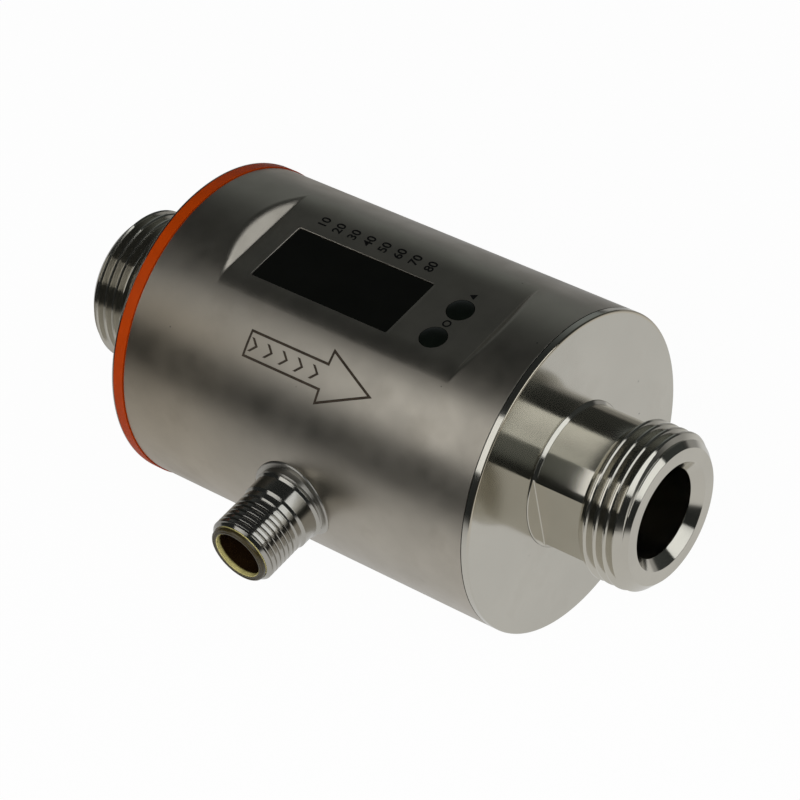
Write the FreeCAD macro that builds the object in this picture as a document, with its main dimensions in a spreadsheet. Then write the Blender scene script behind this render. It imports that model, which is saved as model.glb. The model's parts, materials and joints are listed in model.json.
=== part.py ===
"""Electromagnetic flow meter with threaded ends, a display recess and a round plug connector.

Frame: origin on the flow axis at mid-length, +X the flow direction, +Z out of the display,
-Y out of the connector.  Millimetres.
"""
import FreeCAD
import Part
import math
import os
import re
import Sketcher

# Driving dimensions, one cell each in the sheet.
DIMENSIONS = {
    # Envelope
    "overall_length": 110,
    "body_length": 72.4,
    "body_diameter": 54,
    "housing_wall": 1.5,
    "slip_gap": 0.05,
    "cut_margin": 1,
    # End plates and the ring between the housing and the inlet plate
    "front_rim": 0.8,
    "rim_chamfer": 0.65,
    "rear_rim": 0.4,
    "rear_rim_chamfer": 0.15,
    "ring_width": 2.2,
    "ring_proud": 0.2,
    "ring_edge": 0.3,
    "ring_lip_wall": 1.4,
    "ring_lip_length": 2.6,
    "plate_thickness": 3,
    "plate_collar_wall": 2.6,
    "plate_seal_section": 1.2,
    # Threaded fittings, alike at both ends
    "bore_diameter": 15,
    "mouth_diameter": 18.4,
    "neck_diameter": 23.5,
    "thread_diameter": 26.44,
    "thread_length": 9,
    "tip_chamfer": 1.5,
    "wrench_size": 19,
    "flat_step": 0.6,
    "weld_toe": 0.4,
    "spigot_diameter": 22,
    "socket_diameter": 19.2,
    "socket_depth": 5,
    # Measuring tube
    "tube_diameter": 21,
    "tube_shoulder_span": 44,
    "tube_seal_section": 1.2,
    "seal_groove_play": 0.3,
    # Electrodes and the bosses that hold them
    "electrode_diameter": 3,
    "electrode_collar": 1,
    "electrode_stem_diameter": 1.2,
    "electrode_stem_room": 0.85,
    "boss_diameter": 9,
    "boss_reach": 12.4,
    "gland_diameter": 6,
    "gland_depth": 2.5,
    "gland_ring": 0.8,
    # Magnet
    "pole_shoe_thickness": 1,
    "pole_shoe_angle": 100,
    "pole_shoe_length": 24,
    "core_diameter": 8,
    "bobbin_wall": 0.7,
    "bobbin_diameter": 19,
    "winding_diameter": 18,
    "yoke_thickness": 1.2,
    "yoke_width": 16,
    "yoke_gap": 1.1,
    "yoke_bend": 2.4,
    "core_screw_diameter": 3,
    "core_screw_floor": 1,
    "core_screw_head_diameter": 5.5,
    "core_screw_head": 1.3,
    "core_screw_room": 0.5,
    # Temperature probe in the inlet fitting
    "probe_diameter": 2.8,
    "probe_setback": 5.7,
    "probe_wall": 1.2,
    "probe_length": 3,
    # Display recess, window and buttons
    "recess_depth": 2,
    "recess_length": 46.2,
    "recess_along": 1.7,
    "ramp_run": 2.1,
    "recess_side_round": 4,
    "window_length": 27.4,
    "window_width": 12.4,
    "window_along": -3.55,
    "window_across": -2,
    "window_sink": 0.25,
    "window_seal": 0.2,
    "lens_lip": 1.2,
    "lens_flange": 1,
    "button_diameter": 4.4,
    "button_gap": 0.1,
    "button_dome": 0.3,
    "button_along": 17.35,
    "button_pitch": 6.87,
    "button_travel": 0.5,
    "button_stop_gap": 0.05,
    "button_flange": 0.55,
    "button_flange_diameter": 6.2,
    "button_stem_diameter": 2.4,
    # Display electronics, stacked inwards from the window
    "display_gap": 0.1,
    "display_height": 1.8,
    "display_length": 24,
    "display_width": 8.4,
    "display_inset": 1.05,
    "lamp_size": 0.9,
    "lamp_pitch": 3.1,
    "lamp_inset": 1.5,
    "board_thickness": 1.2,
    "board_edge_gap": 2.3,
    "board_end_gap": 0.3,
    "carrier_thickness": 1.5,
    "carrier_edge_gap": 3,
    "switch_side": 4,
    "switch_height": 1.2,
    "switch_floor": 0.2,
    "switch_spare": 0.15,
    "plunger_diameter": 1.8,
    "board_screw_diameter": 2,
    "board_screw_head_diameter": 3.8,
    "board_screw_head": 1.2,
    "board_screw_inset": 2.2,
    "chip_side": 7,
    "chip_height": 1.2,
    "chip_pitch": 10,
    # Plug connector
    "connector_along": 1.2,
    "connector_height": 12.8,
    "connector_thread_diameter": 11.88,
    "connector_thread_length": 7.8,
    "connector_chamfer": 0.6,
    "relief_width": 0.3,
    "relief_diameter": 11.2,
    "connector_collar_diameter": 12.4,
    "connector_base_diameter": 12.8,
    "connector_base_height": 1.1,
    "connector_base_flare": 0.9,
    "stub_diameter": 11.4,
    "stub_inside": 1.5,
    "insert_diameter": 10.4,
    "insert_rim": 0.8,
    "insert_flange": 1,
    "cup_diameter": 8.4,
    "cup_depth": 9,
    "key_width": 1,
    "key_height": 0.5,
    "pin_diameter": 1,
    "pin_circle": 5.6,
    "pin_tip_depth": 4.6,
    "connector_seal_section": 0.7,
    "connector_board_thickness": 0.8,
    "connector_board_gap": 1.7,
    # Leads and flat cables
    "lead_diameter": 0.8,
    "lead_bend": 1.6,
    "lead_setback": 11,
    "coil_lead_setback": 13,
    "lead_hole_diameter": 2,
    "flex_thickness": 0.25,
    "flex_width": 4,
    "flex_setback": 12,
    "ribbon_width": 6,
}

# Sizes and places that follow from the driving dimensions.
FORMULAS = {
    "body_radius": "body_diameter / 2",
    "inner_radius": "body_radius - housing_wall",
    "front_face": "body_length / 2",
    "rear_face": "-body_length / 2",
    "tube_front": "front_face - front_rim",
    "ring_rear": "rear_face + rear_rim",
    "tube_rear": "ring_rear + ring_width",
    "tip": "overall_length / 2",
    "ring_seat": "inner_radius - 2 * slip_gap - ring_lip_wall",
    "collar_end": "tube_rear + ring_lip_length",
    "web_inside": "rear_face + plate_thickness",
    "plate_seal_at": "collar_end - plate_seal_section",
    "plate_seal_floor": "ring_seat + slip_gap - plate_seal_section",
    "bore_radius": "bore_diameter / 2",
    "mouth_radius": "mouth_diameter / 2",
    "neck_radius": "neck_diameter / 2",
    "thread_radius": "thread_diameter / 2",
    "spigot_radius": "spigot_diameter / 2",
    "socket_radius": "socket_diameter / 2",
    "neck_end": "tip - thread_length",
    "tube_shoulder": "tube_shoulder_span / 2",
    "tube_end": "tube_shoulder + socket_depth",
    "tube_radius": "tube_diameter / 2",
    "tube_end_radius": "socket_radius - slip_gap",
    "tube_seal_at": "tube_shoulder + socket_depth / 2",
    "tube_seal_floor": "socket_radius - tube_seal_section",
    "groove_half": "tube_seal_section / 2 + seal_groove_play",
    "gland_radius": "gland_diameter / 2",
    "gland_floor": "boss_reach - gland_depth",
    "gland_ring_inner": "boss_reach - gland_ring",
    "collar_inner": "gland_ring_inner - electrode_collar",
    "electrode_seal_section": "collar_inner - gland_floor - slip_gap",
    "electrode_seal_at": "(collar_inner + gland_floor) / 2",
    "electrode_radius": "electrode_diameter / 2",
    "electrode_seal_radius": "(gland_radius + electrode_radius) / 2",
    "stem_radius": "electrode_stem_diameter / 2",
    "stem_end": "yoke_side - yoke_thickness - electrode_stem_room",
    "recess_floor": "body_radius - recess_depth",
    "recess_under": "recess_floor - housing_wall",
    "recess_rear": "recess_along - recess_length / 2",
    "recess_front": "recess_along + recess_length / 2",
    "ramp_slope": "ramp_run / recess_depth",
    "ramp_shift": "housing_wall * (sqrt(1 + ramp_slope ^ 2) - ramp_slope)",
    "window_rear": "window_along - window_length / 2",
    "window_front": "window_along + window_length / 2",
    "window_low": "window_across - window_width / 2",
    "window_high": "window_across + window_width / 2",
    "lens_top": "recess_floor - window_sink",
    "lens_shoulder": "recess_under - window_seal",
    "lens_bottom": "lens_shoulder - lens_flange",
    "board_top": "lens_bottom - display_gap - display_height",
    "board_under": "board_top - board_thickness",
    "yoke_outer": "board_under - carrier_thickness",
    "yoke_inner": "yoke_outer - yoke_thickness",
    "board_half": "sqrt(inner_radius ^ 2 - board_top ^ 2) - board_edge_gap",
    "board_rear": "recess_rear + board_end_gap",
    "board_front": "recess_front - board_end_gap",
    "carrier_half": "board_half - carrier_edge_gap",
    "screw_across": "carrier_half - board_screw_inset",
    "screw_rear": "board_rear + board_screw_inset",
    "screw_front": "board_front - board_screw_inset",
    "yoke_side": "sqrt(inner_radius ^ 2 - yoke_outer ^ 2) - yoke_gap",
    "pole_radius": "tube_radius + pole_shoe_thickness",
    "core_radius": "core_diameter / 2",
    "bobbin_bore": "core_radius + slip_gap",
    "bobbin_barrel": "bobbin_bore + bobbin_wall",
    "winding_low": "pole_radius + bobbin_wall",
    "winding_high": "yoke_inner - bobbin_wall",
    "core_screw_radius": "core_screw_diameter / 2",
    "core_screw_tip": "pole_radius + core_screw_floor",
    "probe_at": "rear_face + probe_setback",
    "probe_radius": "probe_diameter / 2",
    "probe_floor": "bore_radius + probe_wall",
    "probe_top": "probe_floor + probe_length",
    "probe_wire_level": "yoke_outer - lead_bend",
    "button_radius": "button_diameter / 2",
    "button_hole": "button_radius + button_gap",
    "flange_top": "recess_under - button_stop_gap",
    "flange_under": "flange_top - button_flange",
    "dome_radius": "(button_radius ^ 2 + button_dome ^ 2) / (2 * button_dome)",
    "dome_top": "recess_floor + button_dome",
    "switch_top": "board_top + switch_height",
    "button_stem_end": "switch_top + button_travel + switch_spare",
    "plunger_radius": "plunger_diameter / 2",
    "plunger_low": "board_top + switch_floor + button_travel + switch_spare",
    "connector_reach": "body_radius + connector_height",
    "thread_start": "connector_reach - connector_thread_length",
    "relief_start": "thread_start - relief_width",
    "base_top": "body_radius + connector_base_height",
    "stub_radius": "stub_diameter / 2",
    "stub_end": "inner_radius - stub_inside",
    "insert_radius": "insert_diameter / 2",
    "insert_end": "stub_end - insert_flange",
    "cup_radius": "cup_diameter / 2",
    "cup_mouth": "connector_reach + insert_rim",
    "cup_floor": "cup_mouth - cup_depth",
    "pin_tip": "cup_mouth - pin_tip_depth",
    "pin_radius": "pin_diameter / 2",
    "connector_seal_at": "(stub_end + base_top) / 2",
    "connector_seal_floor": "insert_radius + slip_gap - connector_seal_section",
    "connector_board_outer": "insert_end - connector_board_gap",
    "connector_board_inner": "connector_board_outer - connector_board_thickness",
    "flex_inner": "connector_board_inner - flex_thickness",
    "lead_radius": "lead_diameter / 2",
    "landing": "(board_half + carrier_half) / 2",
}

doc = FreeCAD.newDocument("flow_meter")
sheet = doc.addObject("Spreadsheet::Sheet", "dims")
for row, (alias, size) in enumerate(DIMENSIONS.items(), start=1):
    sheet.set(f"A{row}", str(size))
    sheet.setAlias(f"A{row}", alias)
doc.recompute()

NODES = []
Vector = FreeCAD.Vector

# Turns of a piece made along +Z (primitives) or +X (turned pieces) to the axis it lies on.
FROM_Z = {
    "X": FreeCAD.Rotation(Vector(0, 1, 0), 90),
    "Y": FreeCAD.Rotation(Vector(1, 0, 0), -90),
    "Z": FreeCAD.Rotation(),
}
FROM_X = {
    "X": FreeCAD.Rotation(),
    "-X": FreeCAD.Rotation(Vector(0, 0, 1), 180),
    "Y": FreeCAD.Rotation(Vector(0, 0, 1), 90),
    "-Y": FreeCAD.Rotation(Vector(0, 0, 1), -90),
    "Z": FreeCAD.Rotation(Vector(0, 1, 0), -90),
    "-Z": FreeCAD.Rotation(Vector(0, 1, 0), 90),
}


def expand(formula):
    """The formula with every name replaced by the sheet cells it stands for."""
    def swap(match):
        name = match.group(0)
        if name in FORMULAS:
            return f"({expand(FORMULAS[name])})"
        return f"dims.{name}" if name in DIMENSIONS else name
    return re.sub(r"[a-z][a-z_]*", swap, formula)


def number(formula):
    """The formula's value with the sheet as it stands."""
    return float(sheet.evalExpression(expand(formula)))


def bind(item, **formulas):
    """Tie properties of an object to the sheet."""
    for name, formula in formulas.items():
        item.setExpression(name, expand(formula))


def place(item, rotation, x="0", y="0", z="0"):
    """Turn an object and tie its position to the sheet."""
    item.Placement = FreeCAD.Placement(Vector(), rotation)
    for axis, formula in (("x", x), ("y", y), ("z", z)):
        item.setExpression(f"Placement.Base.{axis}", expand(formula))


def start_point(axis, low, centre):
    """Position formulas of a point at low along the axis, centre across it."""
    first, second = centre
    if axis == "X":
        return {"x": low, "y": first, "z": second}
    if axis == "Y":
        return {"x": first, "y": low, "z": second}
    return {"x": first, "y": second, "z": low}


def cylinder(axis, radius, low, high, centre=("0", "0")):
    """Round bar along an axis from low to high."""
    item = doc.addObject("Part::Cylinder", "bar")
    bind(item, Radius=radius, Height=f"({high}) - ({low})")
    place(item, FROM_Z[axis], **start_point(axis, low, centre))
    return item


def box(x, y, z):
    """Block between three pairs of limits."""
    item = doc.addObject("Part::Box", "block")
    sizes = [f"({high}) - ({low})" for low, high in (x, y, z)]
    bind(item, Length=sizes[0], Width=sizes[1], Height=sizes[2])
    place(item, FreeCAD.Rotation(), x[0], y[0], z[0])
    return item


def torus(axis, ring, section, at, centre=("0", "0")):
    """Ring seal of round section about an axis."""
    item = doc.addObject("Part::Torus", "ring_seal")
    bind(item, Radius1=ring, Radius2=section)
    place(item, FROM_Z[axis], **start_point(axis, at, centre))
    return item


def joined(*items):
    """Union of several shapes."""
    if len(items) == 1:
        return items[0]
    item = doc.addObject("Part::MultiFuse", "union")
    item.Shapes = list(items)
    return item


def cut(base, *tools):
    """Base with every tool taken away."""
    item = doc.addObject("Part::Cut", "cut")
    item.Base = base
    item.Tool = joined(*tools)
    return item


def common(first, second):
    """What two shapes share."""
    item = doc.addObject("Part::Common", "shared")
    item.Base = first
    item.Tool = second
    return item


def group(*items):
    """Like pieces that share one node."""
    item = doc.addObject("Part::Compound", "set")
    item.Links = list(items)
    return item


def node(label, item):
    """Name a finished sub-part and list it for writing."""
    item.Label = label
    NODES.append(item)
    return item


def mirrored(side, low, high):
    """Limits on the plus or the minus side of the middle."""
    return (low, high) if side > 0 else (f"-({high})", f"-({low})")


def outline(body, plane, points):
    """Closed outline of straight edges, every corner tied to the sheet."""
    sketch = body.newObject("Sketcher::SketchObject", "outline")
    support = next(item for item in body.Origin.OriginFeatures if item.Role == plane)
    sketch.AttachmentSupport = [(support, "")]
    sketch.MapMode = "FlatFace"
    corners = [Vector(number(first), number(second), 0) for first, second in points]
    count = len(corners)
    for index, corner in enumerate(corners):
        sketch.addGeometry(Part.LineSegment(corner, corners[(index + 1) % count]), False)
    for index in range(count):
        sketch.addConstraint(Sketcher.Constraint("Coincident", index, 2, (index + 1) % count, 1))
    for index, formulas in enumerate(points):
        for kind, formula, start in zip(("DistanceX", "DistanceY"), formulas, corners[index]):
            if formula == "0":
                line = -2 if kind == "DistanceX" else -1
                sketch.addConstraint(Sketcher.Constraint("PointOnObject", index, 1, line))
                continue
            tied = sketch.addConstraint(Sketcher.Constraint(kind, -1, 1, index, 1, start))
            sketch.setExpression(f"Constraints[{tied}]", expand(formula))
    return sketch


def turned(axis, profile, centre=("0", "0")):
    """Body of revolution: profile corners are (place along the axis, radius)."""
    body = doc.addObject("PartDesign::Body", "turned")
    sketch = outline(body, "XZ_Plane", profile)
    turn = body.newObject("PartDesign::Revolution", "turn")
    turn.Profile = sketch
    turn.ReferenceAxis = (sketch, ["H_Axis"])
    turn.Angle = 360
    place(body, FROM_X[axis], **start_point(axis[-1], "0", centre))
    return body


def recess_prism(floor, rear, front):
    """Wedge that widens upwards from a floor with the slope of the recess ramps."""
    item = doc.addObject("Part::Wedge", "recess")
    top = "body_radius + cut_margin"
    spread = f"(({top}) - ({floor})) * ramp_slope"
    bind(item, Ymin=floor, Ymax=top, Xmin=rear, Xmax=front)
    bind(item, X2min=f"{rear} - {spread}", X2max=f"{front} + {spread}")
    bind(item, Zmin="-body_radius", Zmax="body_radius", Z2min="-body_radius", Z2max="body_radius")
    item.Placement = FreeCAD.Placement(Vector(), FreeCAD.Rotation(Vector(1, 0, 0), 90))
    return item


def lead(points, radius):
    """Round wire along straight runs joined by tangent arcs."""
    bend = number("lead_bend")
    edges = []
    start = points[0]
    for before, corner, after in zip(points, points[1:], points[2:]):
        inward = (corner - before).normalize()
        onward = (after - corner).normalize()
        reach = bend * math.tan(inward.getAngle(onward) / 2)
        begin = corner - inward * reach
        finish = corner + onward * reach
        aside = (onward - inward).normalize()
        middle = corner + aside * (math.hypot(bend, reach) - bend)
        edges.append(Part.LineSegment(start, begin).toShape())
        edges.append(Part.Arc(begin, middle, finish).toShape())
        start = finish
    edges.append(Part.LineSegment(start, points[-1]).toShape())
    section = Part.Wire(Part.makeCircle(radius, points[0], points[1] - points[0]))
    item = doc.addObject("Part::Feature", "lead")
    item.Shape = Part.Wire(edges).makePipeShell([section], True, True)
    return item


def point(x, y, z):
    """A point from three formulas."""
    return Vector(number(x), number(y), number(z))


def button_places():
    """Across-position of the two buttons, set first."""
    half = "button_pitch / 2"
    return {"mode": f"window_across + {half}", "set": f"window_across - {half}"}


def rounded_recess(blank):
    """Soften the two long edges where the recess floor runs out into the round of the tube."""
    doc.recompute()
    level = number("recess_floor")
    edges = []
    for index, edge in enumerate(blank.Shape.Edges, start=1):
        along = [vertex.Point for vertex in edge.Vertexes]
        if len(along) < 2 or any(abs(spot.z - level) > 0.01 for spot in along):
            continue
        if abs(along[0].y - along[1].y) < 0.01:
            edges.append((index, number("recess_side_round"), number("recess_side_round")))
    item = doc.addObject("Part::Fillet", "soft_recess")
    item.Base = blank
    item.Edges = edges
    return item


def make_housing():
    outside = cut(
        cylinder("X", "body_radius", "tube_rear", "tube_front"),
        recess_prism("recess_floor", "recess_rear", "recess_front"),
    )
    hollow = cut(
        cylinder("X", "inner_radius", "tube_rear - cut_margin", "tube_front + cut_margin"),
        recess_prism("recess_under", "recess_rear - ramp_shift", "recess_front + ramp_shift"),
    )
    through = ("recess_under - cut_margin", "recess_floor + cut_margin")
    openings = [box(("window_rear", "window_front"), ("window_low", "window_high"), through)]
    for across in button_places().values():
        openings.append(cylinder("Z", "button_hole", *through, ("button_along", across)))
    openings.append(cylinder(
        "Y", "stub_radius + slip_gap", "-body_radius", "-stub_end", ("connector_along", "0")))
    node("housing_tube", cut(rounded_recess(outside), hollow, *openings))


def make_end_plates():
    hole = "spigot_radius + slip_gap"
    spigot = "inner_radius - slip_gap"
    node("outlet_end_plate", turned("X", [
        ("front_face - plate_thickness", hole),
        ("front_face - plate_thickness", spigot),
        ("tube_front", spigot),
        ("tube_front", "body_radius"),
        ("front_face - rim_chamfer", "body_radius"),
        ("front_face", "body_radius - rim_chamfer"),
        ("front_face", hole),
    ]))
    collar_bore = "ring_seat - plate_collar_wall"
    groove = ("plate_seal_at - plate_seal_section / 2", "plate_seal_at + plate_seal_section / 2")
    node("inlet_end_plate", turned("X", [
        ("rear_face", hole),
        ("rear_face", "body_radius - rear_rim_chamfer"),
        ("rear_face + rear_rim_chamfer", "body_radius"),
        ("ring_rear", "body_radius"),
        ("ring_rear", "ring_seat"),
        (groove[0], "ring_seat"),
        (groove[0], "plate_seal_floor"),
        (groove[1], "plate_seal_floor"),
        (groove[1], "ring_seat"),
        ("collar_end", "ring_seat"),
        ("collar_end", collar_bore),
        ("web_inside", collar_bore),
        ("web_inside", hole),
    ]))
    node("inlet_plate_seal", torus(
        "X", "plate_seal_floor + plate_seal_section / 2", "plate_seal_section / 2", "plate_seal_at"))
    seat = "ring_seat + slip_gap"
    rim = "body_radius + ring_proud"
    node("housing_ring", turned("X", [
        ("ring_rear", seat),
        ("ring_rear", f"{rim} - ring_edge"),
        ("ring_rear + ring_edge", rim),
        ("tube_rear - ring_edge", rim),
        ("tube_rear", f"{rim} - ring_edge"),
        ("tube_rear", spigot),
        ("collar_end", spigot),
        ("collar_end", seat),
    ]))


def make_fitting(label, axis, *pockets):
    """Nipple whose spigot passes through the end plate and holds the measuring tube."""
    blank = turned(axis, [
        ("tube_shoulder", "socket_radius"),
        ("tube_shoulder", "spigot_radius"),
        ("front_face", "spigot_radius"),
        ("front_face", "neck_radius + weld_toe"),
        ("front_face + weld_toe", "neck_radius"),
        ("neck_end", "neck_radius"),
        ("neck_end + thread_radius - neck_radius", "thread_radius"),
        ("tip - tip_chamfer", "thread_radius"),
        ("tip", "thread_radius - tip_chamfer"),
        ("tip", "mouth_radius"),
        ("tip - mouth_radius + bore_radius", "bore_radius"),
        ("tube_end", "bore_radius"),
        ("tube_end", "socket_radius"),
    ])
    along = mirrored(1 if axis == "X" else -1, "front_face + flat_step", "neck_end")
    height = ("-thread_radius", "thread_radius")
    flats = [box(along, mirrored(side, "wrench_size / 2", "thread_radius"), height) for side in (1, -1)]
    node(label, cut(blank, *flats, *pockets))


def make_measuring_tube():
    groove = ("tube_seal_at - groove_half", "tube_seal_at + groove_half")
    half = [
        ("tube_shoulder", "tube_radius"),
        ("tube_shoulder", "tube_end_radius"),
        (groove[0], "tube_end_radius"),
        (groove[0], "tube_seal_floor"),
        (groove[1], "tube_seal_floor"),
        (groove[1], "tube_end_radius"),
        ("tube_end", "tube_end_radius"),
        ("tube_end", "0"),
    ]
    other = [(f"-({along})", radius) for along, radius in reversed(half)]
    bosses = cylinder("Y", "boss_diameter / 2", "-boss_reach", "boss_reach")
    bored = [
        cylinder("X", "bore_radius", "-tube_end - cut_margin", "tube_end + cut_margin"),
        cylinder("Y", "electrode_radius", "-boss_reach", "boss_reach"),
    ]
    for side in (1, -1):
        bored.append(cylinder("Y", "gland_radius", *mirrored(side, "gland_floor", "boss_reach + cut_margin")))
    node("measuring_tube", cut(joined(turned("X", half + other), bosses), *bored))
    ring = "tube_seal_floor + tube_seal_section / 2"
    seals = [torus("X", ring, "tube_seal_section / 2", f"{side} * tube_seal_at") for side in (1, -1)]
    node("tube_seals", group(*seals))


def make_electrodes():
    seals = []
    rings = []
    for label, axis, side in (("electrode_right", "Y", 1), ("electrode_left", "-Y", -1)):
        node(label, turned(axis, [
            ("bore_radius", "0"),
            ("bore_radius", "electrode_radius"),
            ("collar_inner", "electrode_radius"),
            ("collar_inner", "gland_radius - slip_gap"),
            ("gland_ring_inner", "gland_radius - slip_gap"),
            ("gland_ring_inner", "stem_radius"),
            ("stem_end", "stem_radius"),
            ("stem_end", "0"),
        ]))
        at = f"{side} * electrode_seal_at"
        seals.append(torus("Y", "electrode_seal_radius", "electrode_seal_section / 2", at))
        limits = mirrored(side, "gland_ring_inner", "boss_reach")
        ring = cylinder("Y", "gland_radius", *limits)
        rings.append(cut(ring, cylinder("Y", "stem_radius + slip_gap", *limits)))
    node("electrode_seals", group(*seals))
    node("gland_rings", group(*rings))


def make_magnet():
    screws = []
    for name, axis, side in (("upper", "Z", 1), ("lower", "-Z", -1)):
        shoe = cylinder("X", "pole_radius", "-pole_shoe_length / 2", "pole_shoe_length / 2")
        bind(shoe, Angle="pole_shoe_angle")
        start = (180 if side > 0 else 0) - number("pole_shoe_angle") / 2
        place(shoe, FROM_Z["X"].multiply(FreeCAD.Rotation(Vector(0, 0, 1), start)), "-pole_shoe_length / 2")
        inside = cylinder("X", "tube_radius", "-pole_shoe_length", "pole_shoe_length")
        node(f"{name}_pole_shoe", cut(shoe, inside))

        bore = cylinder("Z", "core_screw_radius", *mirrored(side, "core_screw_tip", "yoke_inner"))
        seat = cylinder("X", "pole_radius", "-core_diameter", "core_diameter")
        post = cylinder("Z", "core_radius", *mirrored(side, "0", "yoke_inner"))
        node(f"{name}_core", cut(post, seat, bore))

        node(f"{name}_bobbin", turned(axis, [
            ("pole_radius", "bobbin_bore"),
            ("pole_radius", "bobbin_diameter / 2"),
            ("winding_low", "bobbin_diameter / 2"),
            ("winding_low", "bobbin_barrel"),
            ("winding_high", "bobbin_barrel"),
            ("winding_high", "bobbin_diameter / 2"),
            ("yoke_inner", "bobbin_diameter / 2"),
            ("yoke_inner", "bobbin_bore"),
        ]))
        limits = mirrored(side, "winding_low", "winding_high")
        wound = cylinder("Z", "winding_diameter / 2", *limits)
        node(f"{name}_winding", cut(wound, cylinder("Z", "bobbin_barrel", *limits)))
        screws.append(turned(axis, [
            ("core_screw_tip", "0"),
            ("core_screw_tip", "core_screw_radius"),
            ("yoke_outer", "core_screw_radius"),
            ("yoke_outer", "core_screw_head_diameter / 2"),
            ("yoke_outer + core_screw_head", "core_screw_head_diameter / 2"),
            ("yoke_outer + core_screw_head", "0"),
        ]))
    node("core_screws", group(*screws))

    width = ("-yoke_width / 2", "yoke_width / 2")
    frame = bent_edges(box(width, ("-yoke_side", "yoke_side"), ("-yoke_outer", "yoke_outer")), "yoke_bend")
    inner_side = "yoke_side - yoke_thickness"
    window = box(width, (f"-({inner_side})", inner_side), ("-yoke_inner", "yoke_inner"))
    window = bent_edges(window, "yoke_bend - yoke_thickness")
    screw_way = cylinder("Z", "core_screw_radius", "-yoke_outer", "yoke_outer")
    node("yoke", cut(frame, window, screw_way))


def bent_edges(block, radius):
    """Round the block's four edges along X, as in a bent strip."""
    doc.recompute()
    bend = number(radius)
    edges = []
    for index, edge in enumerate(block.Shape.Edges, start=1):
        along = edge.Vertexes[1].Point - edge.Vertexes[0].Point
        if abs(along.y) < 0.001 and abs(along.z) < 0.001:
            edges.append((index, bend, bend))
    item = doc.addObject("Part::Fillet", "bent")
    item.Base = block
    item.Edges = edges
    return item


def make_probe():
    at = ("probe_at", "0")
    node("temperature_probe", cylinder("Z", "probe_radius", "probe_floor", "probe_top", at))
    wire = [
        point("probe_at", "0", "probe_top"),
        point("probe_at", "0", "probe_wire_level"),
        point("screw_rear", "0", "probe_wire_level"),
        point("screw_rear", "0", "board_under"),
    ]
    node("probe_lead", lead(wire, number("lead_radius")))


def screw_spots():
    """The four corners of a board where a screw holds it to its carrier."""
    return [(along, across) for along in ("screw_rear", "screw_front")
            for across in ("screw_across", "-screw_across")]


def make_boards():
    length = ("board_rear", "board_front")
    for name, board, side in (("upper", "display_board", 1), ("lower", "main_board", -1)):
        sheet_limits = mirrored(side, "board_under", "board_top")
        carrier_limits = mirrored(side, "yoke_outer", "board_under")
        holes = []
        screws = []
        for spot in screw_spots():
            shank = mirrored(side, "yoke_outer", "board_top")
            holes.append(cylinder("Z", "board_screw_diameter / 2", *shank, spot))
            head = mirrored(side, "board_top", "board_top + board_screw_head")
            screws.append(joined(
                cylinder("Z", "board_screw_diameter / 2", *shank, spot),
                cylinder("Z", "board_screw_head_diameter / 2", *head, spot),
            ))
        plate = box(length, ("-board_half", "board_half"), sheet_limits)
        node(board, cut(plate, *holes))
        passages = [cylinder("Z", "core_screw_head_diameter / 2 + core_screw_room", *carrier_limits)]
        leads = ["-coil_lead_setback"]
        if side > 0:
            leads.append("screw_rear")
        for along in leads:
            passages.append(cylinder("Z", "lead_hole_diameter / 2", *carrier_limits, (along, "0")))
        strip = box(length, ("-carrier_half", "carrier_half"), carrier_limits)
        node(f"{name}_carrier", cut(strip, *holes, *passages))
        node(f"{name}_board_screws", group(*screws))

    node("display_module", box(
        ("window_along - display_length / 2", "window_along + display_length / 2"),
        ("window_low + display_inset", "window_low + display_inset + display_width"),
        ("board_top", "board_top + display_height"),
    ))
    lamps = []
    lamp_count = 8
    for index in range(lamp_count):
        middle = f"window_along + lamp_pitch * {index - (lamp_count - 1) / 2}"
        lamps.append(box(
            (f"{middle} - lamp_size / 2", f"{middle} + lamp_size / 2"),
            ("window_high - lamp_inset - lamp_size / 2", "window_high - lamp_inset + lamp_size / 2"),
            ("board_top", "board_top + lamp_size"),
        ))
    node("indicator_lamps", group(*lamps))
    chips = []
    for index in (-1, 0, 1):
        chips.append(box(
            (f"chip_pitch * {index} - chip_side / 2", f"chip_pitch * {index} + chip_side / 2"),
            ("-chip_side / 2", "chip_side / 2"),
            ("-(board_top + chip_height)", "-board_top"),
        ))
    node("main_board_chips", group(*chips))


def make_window():
    wide = (("window_rear - lens_lip", "window_front + lens_lip"),
            ("window_low - lens_lip", "window_high + lens_lip"))
    pane = box(
        ("window_rear + slip_gap", "window_front - slip_gap"),
        ("window_low + slip_gap", "window_high - slip_gap"),
        ("lens_shoulder", "lens_top"),
    )
    node("display_window", joined(pane, box(*wide, ("lens_bottom", "lens_shoulder"))))
    layer = ("lens_shoulder", "recess_under")
    opening = box(("window_rear", "window_front"), ("window_low", "window_high"), layer)
    node("window_seal", cut(box(*wide, layer), opening))


def make_buttons():
    for name, across in button_places().items():
        spot = ("button_along", across)
        cap = turned("Z", [
            ("button_stem_end", "0"),
            ("button_stem_end", "button_stem_diameter / 2"),
            ("flange_under", "button_stem_diameter / 2"),
            ("flange_under", "button_flange_diameter / 2"),
            ("flange_top", "button_flange_diameter / 2"),
            ("flange_top", "button_radius"),
            ("dome_top", "button_radius"),
            ("dome_top", "0"),
        ], spot)
        dome = doc.addObject("Part::Sphere", "dome")
        bind(dome, Radius="dome_radius")
        place(dome, FROM_Z["Z"], *spot, "dome_top - dome_radius")
        node(f"{name}_button", common(cap, dome))
        node(f"{name}_switch_plunger", cylinder("Z", "plunger_radius", "plunger_low", "button_stem_end", spot))
        half = "switch_side / 2"
        case = box(
            (f"button_along - {half}", f"button_along + {half}"),
            (f"{across} - {half}", f"{across} + {half}"),
            ("board_top", "switch_top"),
        )
        well = cylinder("Z", "plunger_radius + button_gap", "board_top + switch_floor", "switch_top", spot)
        node(f"{name}_switch", cut(case, well))


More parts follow.
